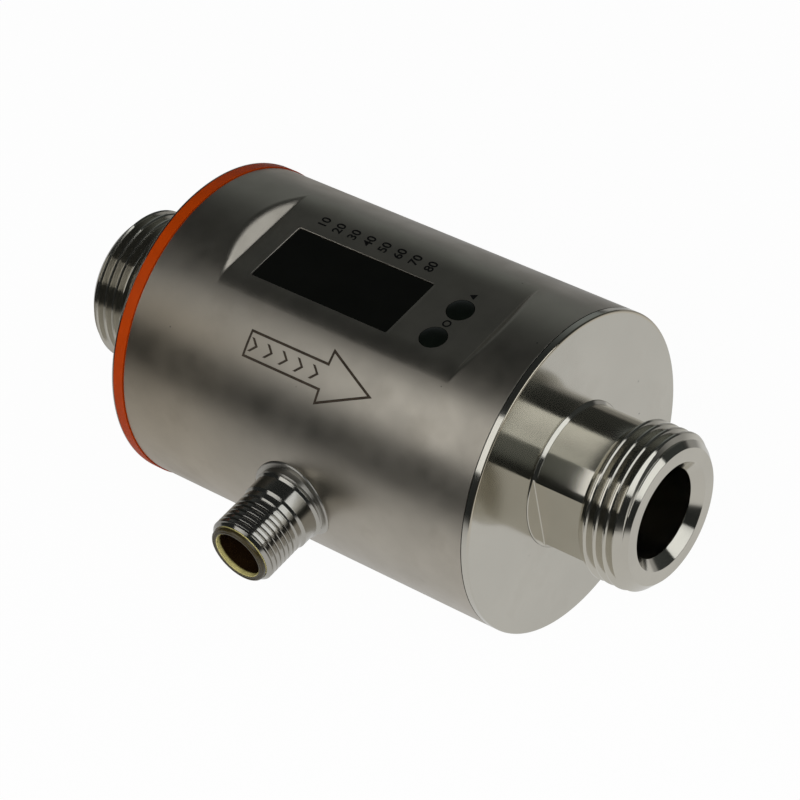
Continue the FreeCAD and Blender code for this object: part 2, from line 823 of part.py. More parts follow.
def pin_spots():
    """The four contacts on their circle, one each way along X and Z."""
    reach = "pin_circle / 2"
    return [(f"connector_along + {reach}", "0"), (f"connector_along - {reach}", "0"),
            ("connector_along", reach), ("connector_along", f"-{reach}")]


def make_connector():
    spot = ("connector_along", "0")
    bore = "insert_radius + slip_gap"
    thread = "connector_thread_diameter / 2"
    outside = turned("-Y", [
        ("inner_radius", bore),
        ("inner_radius", "connector_base_diameter / 2"),
        ("base_top", "connector_base_diameter / 2"),
        ("base_top + connector_base_flare", "connector_collar_diameter / 2"),
        ("relief_start", "connector_collar_diameter / 2"),
        ("relief_start", "relief_diameter / 2"),
        ("thread_start", "relief_diameter / 2"),
        ("thread_start", thread),
        ("connector_reach - connector_chamfer", thread),
        ("connector_reach", f"{thread} - connector_chamfer"),
        ("connector_reach", bore),
    ], spot)
    saddle = cut(outside, cylinder("X", "body_radius", "tube_rear", "tube_front"))
    stub = cylinder("Y", "stub_radius", "-base_top", "-stub_end", spot)
    stub = cut(stub, cylinder("Y", bore, "-base_top", "-stub_end", spot))
    node("connector_shell", joined(saddle, stub))

    groove_half = "connector_seal_section / 2"
    insert = turned("-Y", [
        ("insert_end", "0"),
        ("insert_end", "stub_radius"),
        ("stub_end", "stub_radius"),
        ("stub_end", "insert_radius"),
        (f"connector_seal_at - {groove_half}", "insert_radius"),
        (f"connector_seal_at - {groove_half}", "connector_seal_floor"),
        (f"connector_seal_at + {groove_half}", "connector_seal_floor"),
        (f"connector_seal_at + {groove_half}", "insert_radius"),
        ("cup_mouth", "insert_radius"),
        ("cup_mouth", "cup_radius"),
        ("cup_floor", "cup_radius"),
        ("cup_floor", "0"),
    ], spot)
    wall_middle = "(cup_radius + insert_radius) / 2"
    key = box(
        ("connector_along - key_width / 2", "connector_along + key_width / 2"),
        ("-pin_tip", "-cup_floor"),
        ("cup_radius - key_height", wall_middle),
    )
    ways = [cylinder("Y", "pin_radius", "-cup_floor", "-insert_end", way) for way in pin_spots()]
    node("connector_insert", cut(joined(insert, key), *ways))
    node("connector_seal", torus(
        "Y", f"connector_seal_floor + {groove_half}", groove_half, "-connector_seal_at", spot))

    pins = [cylinder("Y", "pin_radius", "-pin_tip", "-connector_board_inner", way) for way in pin_spots()]
    node("contact_pins", group(*pins))
    layer = ("-connector_board_outer", "-connector_board_inner")
    disc = cylinder("Y", "insert_radius", *layer, spot)
    ways = [cylinder("Y", "pin_radius", *layer, way) for way in pin_spots()]
    node("connector_board", cut(disc, *ways))


def make_flat_cables():
    """Flex from the connector to the main board, and the ribbon between the two boards."""
    half = "flex_width / 2"
    across = (f"flex_setback - {half}", f"flex_setback + {half}")
    arm = box(
        (f"connector_along - {half}", across[1]),
        ("-connector_board_inner", "-flex_inner"),
        (f"-{half}", half),
    )
    body = doc.addObject("PartDesign::Body", "flex_tail")
    edge = "flex_thickness"
    sketch = outline(body, "YZ_Plane", [
        ("-connector_board_inner", half),
        ("-flex_inner", half),
        ("-flex_inner", "-core_diameter"),
        (f"-landing + {edge}", "-yoke_inner"),
        (f"-landing + {edge}", "-board_under"),
        ("-landing", "-board_under"),
        ("-landing", f"-yoke_inner - {edge}"),
        ("-connector_board_inner", f"-core_diameter - {edge}"),
    ])
    bind(sketch, **{"AttachmentOffset.Base.z": across[0]})
    pad = body.newObject("PartDesign::Pad", "strip")
    pad.Profile = sketch
    bind(pad, Length="flex_width")
    node("connector_flex", joined(arm, body))
    node("board_ribbon", box(
        ("flex_setback - ribbon_width / 2", "flex_setback + ribbon_width / 2"),
        ("landing", "landing + flex_thickness"),
        ("-board_under", "board_under"),
    ))


def make_leads():
    """Wires from the electrodes to the main board and from the windings to the boards."""
    radius = number("lead_radius")
    electrode_wires = []
    for side in ("", "-"):
        level = f"{side}(stem_end - lead_radius)"
        electrode_wires.append(lead([
            point("-stem_radius", level, "0"),
            point("-lead_setback", level, "0"),
            point("-lead_setback", f"{side}(landing)", "-pole_radius"),
            point("-lead_setback", f"{side}(landing)", "-board_under"),
        ], radius))
    node("electrode_leads", group(*electrode_wires))
    coil_wires = []
    for side in ("", "-"):
        level = f"{side}(winding_low + winding_high) / 2"
        coil_wires.append(lead([
            point("-winding_diameter / 2", "0", level),
            point("-coil_lead_setback", "0", level),
            point("-coil_lead_setback", "0", f"{side}(board_under)"),
        ], radius))
    node("coil_leads", group(*coil_wires))


def check_model():
    """Stop before writing if any object failed or any sub-part is empty or broken."""
    doc.recompute()
    failed = [item.Name for item in doc.Objects if {"Invalid", "Error"} & set(item.State)]
    if failed:
        raise RuntimeError(f"failed objects: {failed}")
    for item in NODES:
        if item.Shape.isNull() or not item.Shape.isValid() or not item.Shape.Solids:
            raise RuntimeError(f"bad shape: {item.Label}")


def write_parts():
    os.makedirs("parts", exist_ok=True)
    for item in NODES:
        item.Shape.exportStep(os.path.join("parts", f"{item.Label}.step"))


make_housing()
make_end_plates()
make_fitting("outlet_fitting", "X")
make_fitting("inlet_fitting", "-X", cylinder(
    "Z", "probe_radius", "probe_floor", "spigot_radius + cut_margin", ("probe_at", "0")))
make_measuring_tube()
make_electrodes()
make_magnet()
make_probe()
make_boards()
make_window()
make_buttons()
make_connector()
make_flat_cables()
make_leads()
check_model()
write_parts()
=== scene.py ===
"""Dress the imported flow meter: threads, pressed recess, plug connector, marks, finishes and studio."""

import json
import math

import bmesh
import bpy
from bpy.props import FloatProperty, FloatVectorProperty, IntProperty, PointerProperty
from bpy.types import Operator, Panel, PropertyGroup
from mathutils import Matrix, Vector


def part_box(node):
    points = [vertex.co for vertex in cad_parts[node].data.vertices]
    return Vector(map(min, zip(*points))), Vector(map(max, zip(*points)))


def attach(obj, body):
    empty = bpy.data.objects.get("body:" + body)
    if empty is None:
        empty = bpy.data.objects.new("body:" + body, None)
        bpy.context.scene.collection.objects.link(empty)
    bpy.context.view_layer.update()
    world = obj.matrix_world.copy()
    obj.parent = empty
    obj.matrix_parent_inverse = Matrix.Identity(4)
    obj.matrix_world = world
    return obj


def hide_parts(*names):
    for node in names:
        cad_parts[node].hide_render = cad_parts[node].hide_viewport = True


bl_info = {
    "name": "Flow Meter Dresser",
    "version": (1, 0, 0),
    "blender": (4, 5, 0),
    "location": "View3D > Sidebar > Flow Meter",
    "description": "Builds the visible pieces of an in-line flow meter around its CAD frame",
    "category": "Mesh",
}

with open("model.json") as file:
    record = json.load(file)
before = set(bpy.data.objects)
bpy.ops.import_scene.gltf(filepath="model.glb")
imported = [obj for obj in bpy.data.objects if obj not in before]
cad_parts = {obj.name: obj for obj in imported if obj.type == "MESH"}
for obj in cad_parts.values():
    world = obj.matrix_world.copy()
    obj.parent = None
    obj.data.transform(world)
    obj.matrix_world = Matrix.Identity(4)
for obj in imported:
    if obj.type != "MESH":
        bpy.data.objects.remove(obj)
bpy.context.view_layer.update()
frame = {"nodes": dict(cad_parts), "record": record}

MM = 0.001
TURN = 2 * math.pi
WELD = 1e-7
BODY = "meter_body"
KEYS = {"mode_button": "mode_key", "set_button": "set_key"}
FLOW_AXIS = (1, 0, 0)
PLUG_AXIS = (0, 1, 0)
ALONG_PLUG = Matrix.Rotation(-TURN / 4, 4, "Z")
ALONG_BUTTON = Matrix.Rotation(-TURN / 4, 4, "Y")
PANE_LIP = 1.25 * MM
PLATE_HOLE = 11.05 * MM
SPIGOT = 25.45 * MM
PLATE_STEPS = 180
LAMPS = {
    "key_softbox": {"place": (-0.18, -0.41, 0.475), "target": (-0.18, 0, 0), "size": (0.45, 0.44)},
    "side_softbox": {"place": (0.535, 0.1, 0.49), "target": (0.03, 0, 0.01), "size": (0.67, 0.54)},
    "fill_softbox": {"place": (0.35, -0.6, 0.55), "target": (0, 0, 0), "size": (0.7, 0.7)},
}

TUBE_LOW, TUBE_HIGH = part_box("housing_tube")
SHELL_LOW, SHELL_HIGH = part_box("connector_shell")
INSERT_LOW, INSERT_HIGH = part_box("connector_insert")
PIN_LOW, PIN_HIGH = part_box("contact_pins")
PANE_LOW, PANE_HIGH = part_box("display_window")
RING_LOW, RING_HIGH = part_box("housing_ring")
PLATE_LOW, PLATE_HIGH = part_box("outlet_end_plate")
REAR_PLATE_LOW, REAR_PLATE_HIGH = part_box("inlet_end_plate")
FITTING_LOW, FITTING_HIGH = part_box("outlet_fitting")


def length(name, description, default):
    """A size in metres that the user may change."""
    return FloatProperty(name=name, description=description, default=default, unit="LENGTH", precision=5)


def degrees(name, description, default):
    """An angle, given in degrees, that the user may change."""
    return FloatProperty(name=name, description=description, default=math.radians(default), subtype="ANGLE")


def watts(name, description, default):
    """Power of a lamp that the user may change."""
    return FloatProperty(name=name, description=description, default=default, subtype="POWER")


def share(name, description, default):
    """A brightness or a part of one that the user may change."""
    return FloatProperty(name=name, description=description, default=default, subtype="FACTOR")


def number(name, description, default, least=0):
    """A count that the user may change."""
    return IntProperty(name=name, description=description, default=default, min=least)


def colour(name, description, default):
    """A linear colour that the user may change."""
    return FloatVectorProperty(
        name=name, description=description, default=default, subtype="COLOR", size=3, min=0, max=1)


# Sizes and colours

class HousingSettings(PropertyGroup):
    radius: length("Tube radius", "Outer radius of the housing tube", TUBE_HIGH.y)
    wall: length("Wall", "Thickness of the tube's sheet", 1.5 * MM)
    recess_floor: length("Recess floor", "Height of the pressed recess above the flow axis", 25 * MM)
    recess_rear: length("Recess rear", "Inlet end of the recess floor", -21.4 * MM)
    recess_front: length("Recess front", "Outlet end of the recess floor", 24.8 * MM)
    ramp_run: length("Ramp run", "Length of the ramps at both ends of the recess", 2.1 * MM)
    side_blend: length("Side blend", "Softness of the recess's two long edges", 0.9 * MM)
    ramp_blend: length("Ramp blend", "Softness of the upper edges of the ramps", 0.6 * MM)
    crease_blend: length("Crease blend", "Softness of the crease between floor and ramp", 0.12 * MM)
    end_ease: length("End ease", "Broken edge at the tube's two ends", 0.01 * MM)
    plate_rim: length("Plate rim", "Width of the outlet plate's edge beside the tube", 0.8 * MM)
    plate_seam: length("Plate seam", "Gap between the tube and the outlet plate's edge", 0.17 * MM)
    plate_proud: length("Plate face", "Height of the outlet plate's face above the fitting's seat", 0.4 * MM)
    window_ease: length("Window ease", "Rounded edge of the window's cut-out", 0.14 * MM)
    button_hole: length("Button hole", "Radius of the holes for the buttons", 2.3 * MM)
    plug_hole: length("Plug hole", "Radius of the hole for the plug connector", 5.75 * MM)


class FittingSettings(PropertyGroup):
    pitch: length("Pipe thread pitch", "Distance between two crests", 1.814 * MM)
    depth: length("Pipe thread depth", "Height of the crests above the roots", 1.162 * MM)
    flank: degrees("Flank angle", "Half the angle between two flanks", 27.5)
    neck: length("Neck radius", "Radius of the neck between plate and thread", 11.75 * MM)
    flat: length("Wrench flat", "Half the distance across the two flats", 9.5 * MM)
    bore: length("Bore radius", "Radius of the flow bore", 7.5 * MM)
    mouth: length("Mouth radius", "Outer radius of the chamfer at the bore's mouth", 9.1 * MM)
    land: length("Pipe thread land", "Width of a crest between two grooves", 0.2 * MM)
    chamfer: length("Tip chamfer", "Width of the chamfer at the thread's tip", 1.87 * MM)
    toe: length("Toe", "Height of the collar and cone where the neck meets the plate", 0.5 * MM)
    threaded: length("Threaded length", "Distance from the neck's end to the tip", 9 * MM)
    thread_start: length("Thread start", "Place of the first groove along the flow axis", 44.94 * MM)
    thread_turns: number("Thread turns", "Turns of the groove, past the tip", 8, 1)
    steps: number("Steps", "Facets round a turned piece", 144, 24)


class PlugSettings(PropertyGroup):
    along: length("Place", "Place of the plug along the flow axis", (SHELL_LOW.x + SHELL_HIGH.x) / 2)
    pitch: length("Plug thread pitch", "Distance between two crests", 1 * MM)
    depth: length("Plug thread depth", "Height of the crests above the roots", 0.3 * MM)
    land: length("Plug thread land", "Width of a crest between two grooves", 0.5 * MM)
    flank: degrees("Flank angle", "Half the angle between two flanks", 30)
    crest: length("Crest radius", "Outer radius of the plug's thread", 5.94 * MM)
    run_out: length("Run-out", "Place where the plug's thread fades out", 33.32 * MM)
    foot: length("Foot", "Height of the saddle disc where the shell meets the tube", 0.3 * MM)
    foot_width: length("Foot width", "Width of the saddle disc round the shell's base", 0.9 * MM)
    cup: length("Cup radius", "Inner radius of the contact carrier", 4.2 * MM)
    contact_circle: length("Contact circle", "Radius of the circle that the contacts stand on", 2.8 * MM)


class MarkSettings(PropertyGroup):
    line: length("Line width", "Width of the etched lines", 0.42 * MM)
    depth: length("Thickness", "Height of a mark above the metal", 0.012 * MM)
    arrow_tail: length("Arrow tail", "Rear end of the flow arrow", -11.35 * MM)
    arrow_neck: length("Arrow neck", "Rear end of the arrow's head", 4.1 * MM)
    arrow_tip: length("Arrow tip", "Front end of the flow arrow", 13.93 * MM)
    arrow_angle: degrees(
        "Arrow place", "Angle of the arrow's middle, from the display towards the plug", 40.3)
    arrow_half: length("Arrow width", "Half the width of the arrow's shaft", 2.28 * MM)
    head_half: length("Head width", "Half the width of the arrow's head", 4.66 * MM)
    chevrons: number("Chevrons", "Small chevrons inside the arrow's shaft", 5)
    figures: number("Figures", "Number of figures beside the window", 8)
    figure_height: length("Figure height", "Height of the figures beside the window", 2.3 * MM)
    figure_middle: length("Figure middle", "Middle of the row of figures along the flow axis", -3.55 * MM)
    figure_pitch: length("Figure pitch", "Distance between two figures", 3.1 * MM)
    figure_gap: length("Figure gap", "Distance of the figures' middle from the window", 1.7 * MM)
    sign: length("Sign", "Radius of the signs beside the buttons", 0.75 * MM)
    sign_gap: length("Sign gap", "Distance of a sign's middle from its button's flange", 0.335 * MM)


class FinishSettings(PropertyGroup):
    housing: colour("Housing", "Blasted stainless steel of the tube", (0.475, 0.44, 0.378))
    housing_warm: colour("Warm end", "Straw tint of the tube towards the inlet", (0.475, 0.418, 0.33))
    plate: colour("End plates", "Ground stainless steel of the end plates", (0.58, 0.56, 0.498))
    plate_straw: colour("Plate edge", "Straw tint of the outlet plate's upper edge", (0.52, 0.42, 0.26))
    fitting: colour("Fittings", "Turned stainless steel of the fittings", (0.58, 0.555, 0.488))
    plug: colour("Plug shell", "Bright turned steel of the plug connector", (0.455, 0.44, 0.4))
    ring: colour("Ring", "Orange moulded ring", (0.4, 0.042, 0.0006))
    window: colour("Window", "Black polished pane", (0.003, 0.0032, 0.0025))
    rubber: colour("Buttons", "Black rubber of the buttons", (0.003, 0.0042, 0.003))
    # The carrier's lit amber and its dark brown deep in the cup are painted light and painted shade on one
    # amber plastic
    amber: colour("Contact carrier", "Amber plastic in the light", (0.62, 0.55, 0.22))
    amber_deep: colour("Cup", "Amber plastic deep inside the cup", (0.012, 0.006, 0.002))
    etch: colour("Etched marks", "Dark oxide of the etched marks", (0.035, 0.026, 0.018))
    ink: colour("Printed marks", "Black print in the recess", (0.003, 0.003, 0.003))


class StageSettings(PropertyGroup):
    floor: length("Floor", "Height of the floor", -RING_HIGH.z)
    azimuth: degrees("Azimuth", "Camera angle round the object", 46.294)
    elevation: degrees("Elevation", "Camera angle above the floor", 43.694)
    roll: degrees("Roll", "Camera turned about its own axis", 11.8)
    target: FloatVectorProperty(
        name="Target", description="Point that the camera looks at", default=(0.00154, 0.0001, -0.00109),
        subtype="TRANSLATION", size=3)
    distance: length("Distance", "Camera's distance from its target", 0.53)
    lens: FloatProperty(name="Lens", description="Focal length in millimetres", default=147.88, unit="CAMERA")
    key: watts("Key light", "Power of the softbox at the left", 0.75)
    side: watts("Side light", "Power of the softbox at the right", 1.45)
    side_tint: colour("Side light's tint", "Colour of the softbox at the right", (0.95, 0.975, 1))
    fill: watts("Fill light", "Power of the soft fill", 5.0)
    room: share("Room", "Brightness of the dark room above", 0.027)
    pool: share("Pool", "Brightness of the floor round the outlet in mirrors", 0.68)
    pool_rear: share("Rear pool", "Brightness of the floor behind the inlet in mirrors", 0.4)
    pool_reach: length("Pool reach", "Distance at which the bright part of the floor has faded", 0.55)
    glow: share("Floor glow", "Share of the floor that shows white whatever light falls on it", 0.97)
    far_wall: share("Far wall", "Brightness of the wall behind the meter", 0.2)
    near_wall: share("Near wall", "Brightness of the wall behind the camera", 0.16)


class FlowMeterSettings(PropertyGroup):
    housing: PointerProperty(type=HousingSettings)
    fitting: PointerProperty(type=FittingSettings)
    plug: PointerProperty(type=PlugSettings)
    mark: PointerProperty(type=MarkSettings)
    finish: PointerProperty(type=FinishSettings)
    stage: PointerProperty(type=StageSettings)


# Nodes of the finishes

def put(tree, kind, settings=None, **inputs):
    """Add a node, set its options and fill or link its inputs; in0, in1 name inputs by number."""
    node = tree.nodes.new(kind)
    for name, value in (settings or {}).items():
        setattr(node, name, value)
    for name, value in inputs.items():
        socket = node.inputs[int(name[2:])] if name[:2] == "in" else node.inputs[name.replace("_", " ")]
        if isinstance(value, bpy.types.NodeSocket):
            tree.links.new(value, socket)
        else:
            socket.default_value = value
    return node


def math_node(tree, operation, first, second=0.0):
    """Value of one sum or comparison."""
    return put(tree, "ShaderNodeMath", {"operation": operation}, in0=first, in1=second).outputs[0]


def product(tree, first, *others):
    """Value of several values multiplied."""
    for other in others:
        first = math_node(tree, "MULTIPLY", first, other)
    return first


def vector_node(tree, operation, *vectors):
    """Result of one step on vectors: a value for a length or a dot product, otherwise a vector."""
    inputs = {f"in{place}": vector for place, vector in enumerate(vectors)}
    node = put(tree, "ShaderNodeVectorMath", {"operation": operation}, **inputs)
    return node.outputs["Value" if operation in ("LENGTH", "DOT_PRODUCT") else "Vector"]


def split(tree, vector):
    """The three parts of a vector."""
    return put(tree, "ShaderNodeSeparateXYZ", Vector=vector).outputs


def distance_from(tree, coords, axis):
    """Distance from an axis through the origin that runs along X, Y or Z."""
    return vector_node(tree, "LENGTH", vector_node(tree, "MULTIPLY", coords, [1 - part for part in axis]))


def blend(tree, factor, first, second, kind="MIX"):
    """Colour between two colours, or with another kind their product."""
    first, second = [(*tint, 1) if isinstance(tint, tuple) else tint for tint in (first, second)]
    options = {"data_type": "RGBA", "blend_type": kind}
    return put(tree, "ShaderNodeMix", options, in0=factor, in6=first, in7=second).outputs[2]


def scaled(tint, factor):
    """A colour made lighter or darker."""
    return tuple(min(part * factor, 1) for part in tint)


def ranged(tree, value, low, high, to_low=0.0, to_high=1.0, smooth=False):
    """Value carried over from one range to another."""
    kind = {"interpolation_type": "SMOOTHSTEP"} if smooth else {}
    node = put(tree, "ShaderNodeMapRange", kind, in0=value, in1=low, in2=high, in3=to_low, in4=to_high)
    return node.outputs[0]


def new_group(name, output, *values, vector=True):
    """Empty shader group with value inputs and one output; gives the tree, its inputs and its result."""
    tree = bpy.data.node_groups.new(name, "ShaderNodeTree")
    if vector:
        tree.interface.new_socket(name="Vector", in_out="INPUT", socket_type="NodeSocketVector")
    for label in values:
        tree.interface.new_socket(name=label, in_out="INPUT", socket_type="NodeSocketFloat")
    tree.interface.new_socket(name=output, in_out="OUTPUT", socket_type="NodeSocketFloat")
    return tree, tree.nodes.new("NodeGroupInput").outputs, tree.nodes.new("NodeGroupOutput").inputs[output]


def mottle_group():
    """Soft cloudy change between a low and a high value."""
    tree, source, result = new_group("Mottle", "Value", "Scale", "Low", "High")
    noise = put(tree, "ShaderNodeTexNoise", Vector=source["Vector"], Scale=source["Scale"], Detail=4.0,
                Roughness=0.55)
    thin, thick = 0.32, 0.68
    tree.links.new(ranged(tree, noise.outputs[0], thin, thick, source["Low"], source["High"]), result)
    return tree


def speck_group():
    """Mask of small scattered specks."""
    tree, source, result = new_group("Specks", "Mask", "Scale", "Size", "Amount")
    cells = put(tree, "ShaderNodeTexVoronoi", Vector=source["Vector"], Scale=source["Scale"])
    chance, size, _ = put(tree, "ShaderNodeSeparateColor", Color=cells.outputs["Color"]).outputs
    chosen = math_node(tree, "LESS_THAN", chance, source["Amount"])
    reach = product(tree, source["Size"], size)
    spot = ranged(tree, cells.outputs["Distance"], 0.0, reach, 1.0, 0.0, smooth=True)
    tree.links.new(product(tree, chosen, spot), result)
    return tree


def turning_group():
    """Fine tool lines that run round a turned surface, from the place along its axis."""
    tree, source, result = new_group("Turning", "Height", "Along", "Lines", vector=False)
    noise = put(tree, "ShaderNodeTexNoise", {"noise_dimensions": "1D"}, W=source["Along"],
                Scale=source["Lines"], Detail=3.0, Roughness=0.7)
    tree.links.new(noise.outputs[0], result)
    return tree


def grain_group():
    """Fine even grain of a blasted or moulded surface."""
    tree, source, result = new_group("Grain", "Height", "Scale")
    noise = put(tree, "ShaderNodeTexNoise", Vector=source["Vector"], Scale=source["Scale"], Detail=2.0,
                Roughness=0.6)
    tree.links.new(noise.outputs[0], result)
    return tree


GROUPS = {"Mottle": mottle_group, "Specks": speck_group, "Turning": turning_group, "Grain": grain_group}


def effect(tree, name, **inputs):
    """Place a shared effect in a finish, making its group the first time."""
    group = bpy.data.node_groups.get(name) or GROUPS[name]()
    return put(tree, "ShaderNodeGroup", {"node_tree": group}, **inputs).outputs[0]


def mottled(tree, coords, scale, low=0.0, high=1.0):
    """Value that drifts in soft clouds."""
    return effect(tree, "Mottle", Vector=coords, Scale=scale, Low=low, High=high)


def clouded(tree, coords, tint, shade, scale):
    """Colour that drifts a little lighter and darker in soft clouds."""
    return blend(tree, mottled(tree, coords, scale), scaled(tint, 1 - shade), scaled(tint, 1 + shade))


def new_finish(name):
    """Empty material and its object coordinates; the shader is added by finished()."""
    material = bpy.data.materials.new(name)
    material.use_nodes = True
    material.node_tree.nodes.clear()
    return material, material.node_tree, put(material.node_tree, "ShaderNodeTexCoord").outputs["Object"]


def finished(material, **sockets):
    """Close a material with its shader and the values that belong on it."""
    tree = material.node_tree
    shader = put(tree, "ShaderNodeBsdfPrincipled", **sockets)
    put(tree, "ShaderNodeOutputMaterial", Surface=shader.outputs[0])
    return material


def bumped(tree, height, strength, depth):
    """Normal from a height."""
    return put(tree, "ShaderNodeBump", Strength=strength, Distance=depth, Height=height).outputs[0]


def along_axis(tree, coords, axis):
    """Place along X, Y or Z, or for R the distance from the flow axis."""
    return distance_from(tree, coords, FLOW_AXIS) if axis == "R" else split(tree, coords)["XYZ".index(axis)]


def speckled(tree, coords, base, speck, amount, scale, size):
    """Colour with small specks of another."""
    mask = effect(tree, "Specks", Vector=coords, Scale=scale, Size=size, Amount=amount)
    return blend(tree, mask, base, speck)


def stained(tree, coords, base, tint, amount, scale):
    """Colour with a few faint brown blots."""
    least, browned = -1.6, (0.42, 0.36, 0.28)
    blot = math_node(tree, "MAXIMUM", mottled(tree, coords, scale, low=least))
    brown = tuple(part * factor for part, factor in zip(tint, browned))
    return blend(tree, product(tree, blot, amount), base, brown)


def warm_end(tree, coords, base, warm_base, cool_place, warm_place):
    """Colour that goes over to a warm one between two places along the flow axis, below the recess."""
    recess_edge, full = 24.5 * MM, 19 * MM
    along = ranged(tree, along_axis(tree, coords, "X"), cool_place, warm_place, smooth=True)
    below = ranged(tree, along_axis(tree, coords, "Z"), recess_edge, full, smooth=True)
    return blend(tree, product(tree, along, below), base, warm_base)


def straw_edge(tree, coords, base, straw, start):
    """Colour with a straw tint on the upper half of the outlet plate's outer edge, from a place on."""
    full, low, high, strength = start + 0.08 * MM, 4 * MM, 16 * MM, 0.4
    inner, outer = PLATE_HIGH.y - 0.65 * MM, PLATE_HIGH.y - 0.25 * MM
    beyond = ranged(tree, along_axis(tree, coords, "X"), start, full)
    edge = ranged(tree, along_axis(tree, coords, "R"), inner, outer, 0.0, strength, smooth=True)
    upper = ranged(tree, along_axis(tree, coords, "Z"), low, high, smooth=True)
    return blend(tree, product(tree, beyond, edge, upper), base, straw)


def drawn_sheen(tree, coords, centre, direction):
    """Shader values of a sheen that is drawn out across the tool lines round an axis."""
    centred = put(tree, "ShaderNodeMapping", Vector=coords, Location=[-part for part in centre])
    round_axis = vector_node(tree, "CROSS_PRODUCT", centred.outputs[0], direction)
    return {"Anisotropic": 0.75, "Anisotropic_Rotation": 0.25, "Tangent": round_axis}


def metal(name, tint, shade=0.06, rough=(0.1, 0.16), mottle=90, axis=None, lines=4000, line_depth=0.0,
          grain=0.0, grain_scale=3200, specks=0.0, speck_scale=420, stain=0.0, warm=None, straw=None,
          blasted=None, spun=None):
    """Bare metal: cloudy sheen, specks and stains, with tool lines round an axis or a blasted grain.

    With warm, a tint and two places along the flow axis, the colour goes over to that tint below the recess.
    With straw, a tint and a place, the outlet plate's edge beyond that place has the tint. Beyond the place
    blasted along the axis it is rough. With spun, a point and a direction, the sheen is drawn out across the
    tool lines round that axis.
    """
    stain_scale, sheen_scale, speck_shade = 2.1 * mottle, 2.3 * mottle, 0.25
    material, tree, coords = new_finish(name)
    base = clouded(tree, coords, tint, shade, mottle)
    if warm:
        warm_tint, cool_place, warm_place = warm
        warm_base = clouded(tree, coords, warm_tint, shade, mottle)
        base = warm_end(tree, coords, base, warm_base, cool_place, warm_place)
    if specks:
        base = speckled(tree, coords, base, scaled(tint, speck_shade), specks, speck_scale, size=0.11)
    if stain:
        base = stained(tree, coords, base, tint, stain, stain_scale)
    if straw:
        base = straw_edge(tree, coords, base, *straw)
    roughness = mottled(tree, coords, sheen_scale, *rough)
    if blasted:
        full, roughest = blasted + 0.1 * MM, 0.34
        rough_part = ranged(tree, along_axis(tree, coords, axis), blasted, full, 0.0, roughest)
        roughness = math_node(tree, "MAXIMUM", roughness, rough_part)
    if axis:
        height, depth = effect(tree, "Turning", Along=along_axis(tree, coords, axis), Lines=lines), line_depth
    else:
        height, depth = effect(tree, "Grain", Vector=coords, Scale=grain_scale), grain
    sheen = drawn_sheen(tree, coords, *spun) if spun else {}
    return finished(material, Base_Color=base, Metallic=1.0, Roughness=roughness,
                    Normal=bumped(tree, height, strength=0.6, depth=depth), **sheen)


def moulded(name, tint, shade=0.1, rough=(0.35, 0.5), mottle=220, grain=0.01 * MM, grain_scale=2600,
            specks=0.0, coat=0.0, level=0.5):
    """Plastic, rubber or enamel with a faint cloud, a moulded grain and dust."""
    dust, sheen_scale = (0.25, 0.24, 0.22), 1.7 * mottle
    material, tree, coords = new_finish(name)
    base = clouded(tree, coords, tint, shade, mottle)
    if specks:
        base = speckled(tree, coords, base, dust, specks, scale=900, size=0.09)
    height = effect(tree, "Grain", Vector=coords, Scale=grain_scale)
    return finished(material, Base_Color=base, Roughness=mottled(tree, coords, sheen_scale, *rough),
                    Normal=bumped(tree, height, strength=0.5, depth=grain), Coat_Weight=coat,
                    Coat_Roughness=0.05, Specular_IOR_Level=level)


def amber_finish(finish, plug):
    """Contact carrier: painted light of lit amber where it stands out of the shell, olive rim, painted shade
    of dark brown inside the cup.
    """
    olive_dark, olive_light = (0.018, 0.013, 0.005), (0.06, 0.045, 0.012)
    amber, mouth, cup = tuple(finish.amber), -INSERT_LOW.y, plug.cup
    material, tree, coords = new_finish("amber carrier")
    reach = product(tree, along_axis(tree, coords, "Y"), -1.0)
    centred = put(tree, "ShaderNodeMapping", Vector=coords, Location=(-plug.along, 0, 0))
    radius = distance_from(tree, centred.outputs[0], PLUG_AXIS)
    # Painted light and shade: lit amber near the mouth goes over to dark brown painted shade deeper in the
    # cup
    lit = ranged(tree, reach, mouth - 1.0 * MM, mouth - 0.55 * MM, smooth=True)
    wall = blend(tree, lit, tuple(finish.amber_deep), amber)
    rim = ranged(tree, radius, cup + 0.02 * MM, cup + 0.16 * MM, smooth=True)
    olive = blend(tree, effect(tree, "Turning", Along=radius, Lines=6000), olive_dark, olive_light)
    # Painted light: the carrier's outer side just below the mouth is painted lit amber
    side = ranged(tree, radius, cup + 0.93 * MM, cup + 0.99 * MM)
    low = ranged(tree, reach, mouth - 0.75 * MM, mouth - 0.62 * MM, 1.0, 0.0, smooth=True)
    base = blend(tree, product(tree, side, low), blend(tree, rim, wall, olive), amber)
    cloud = mottled(tree, coords, scale=500, low=0.8, high=1.15)
    return finished(material, Base_Color=blend(tree, 1.0, base, cloud, "MULTIPLY"),
                    Roughness=mottled(tree, coords, scale=700, low=0.2, high=0.34))


def winding_finish():
    """Enamelled wire laid turn beside turn, with painted shade in the valleys between the turns."""
    # Painted shade: the valleys between the turns are painted darker than the crowns
    painted_shade_valley, crown = (0.12, 0.035, 0.012), (0.52, 0.19, 0.07)
    material, tree, coords = new_finish("wound copper")
    turns = put(tree, "ShaderNodeTexWave", {"bands_direction": "Z", "wave_profile": "SIN"}, Vector=coords,
                Scale=900.0, Distortion=0.6, Detail=1.0).outputs[1]
    return finished(material, Base_Color=blend(tree, turns, painted_shade_valley, crown), Metallic=0.85,
                    Roughness=mottled(tree, coords, scale=400, low=0.22, high=0.36),
                    Normal=bumped(tree, turns, strength=0.9, depth=0.1 * MM))


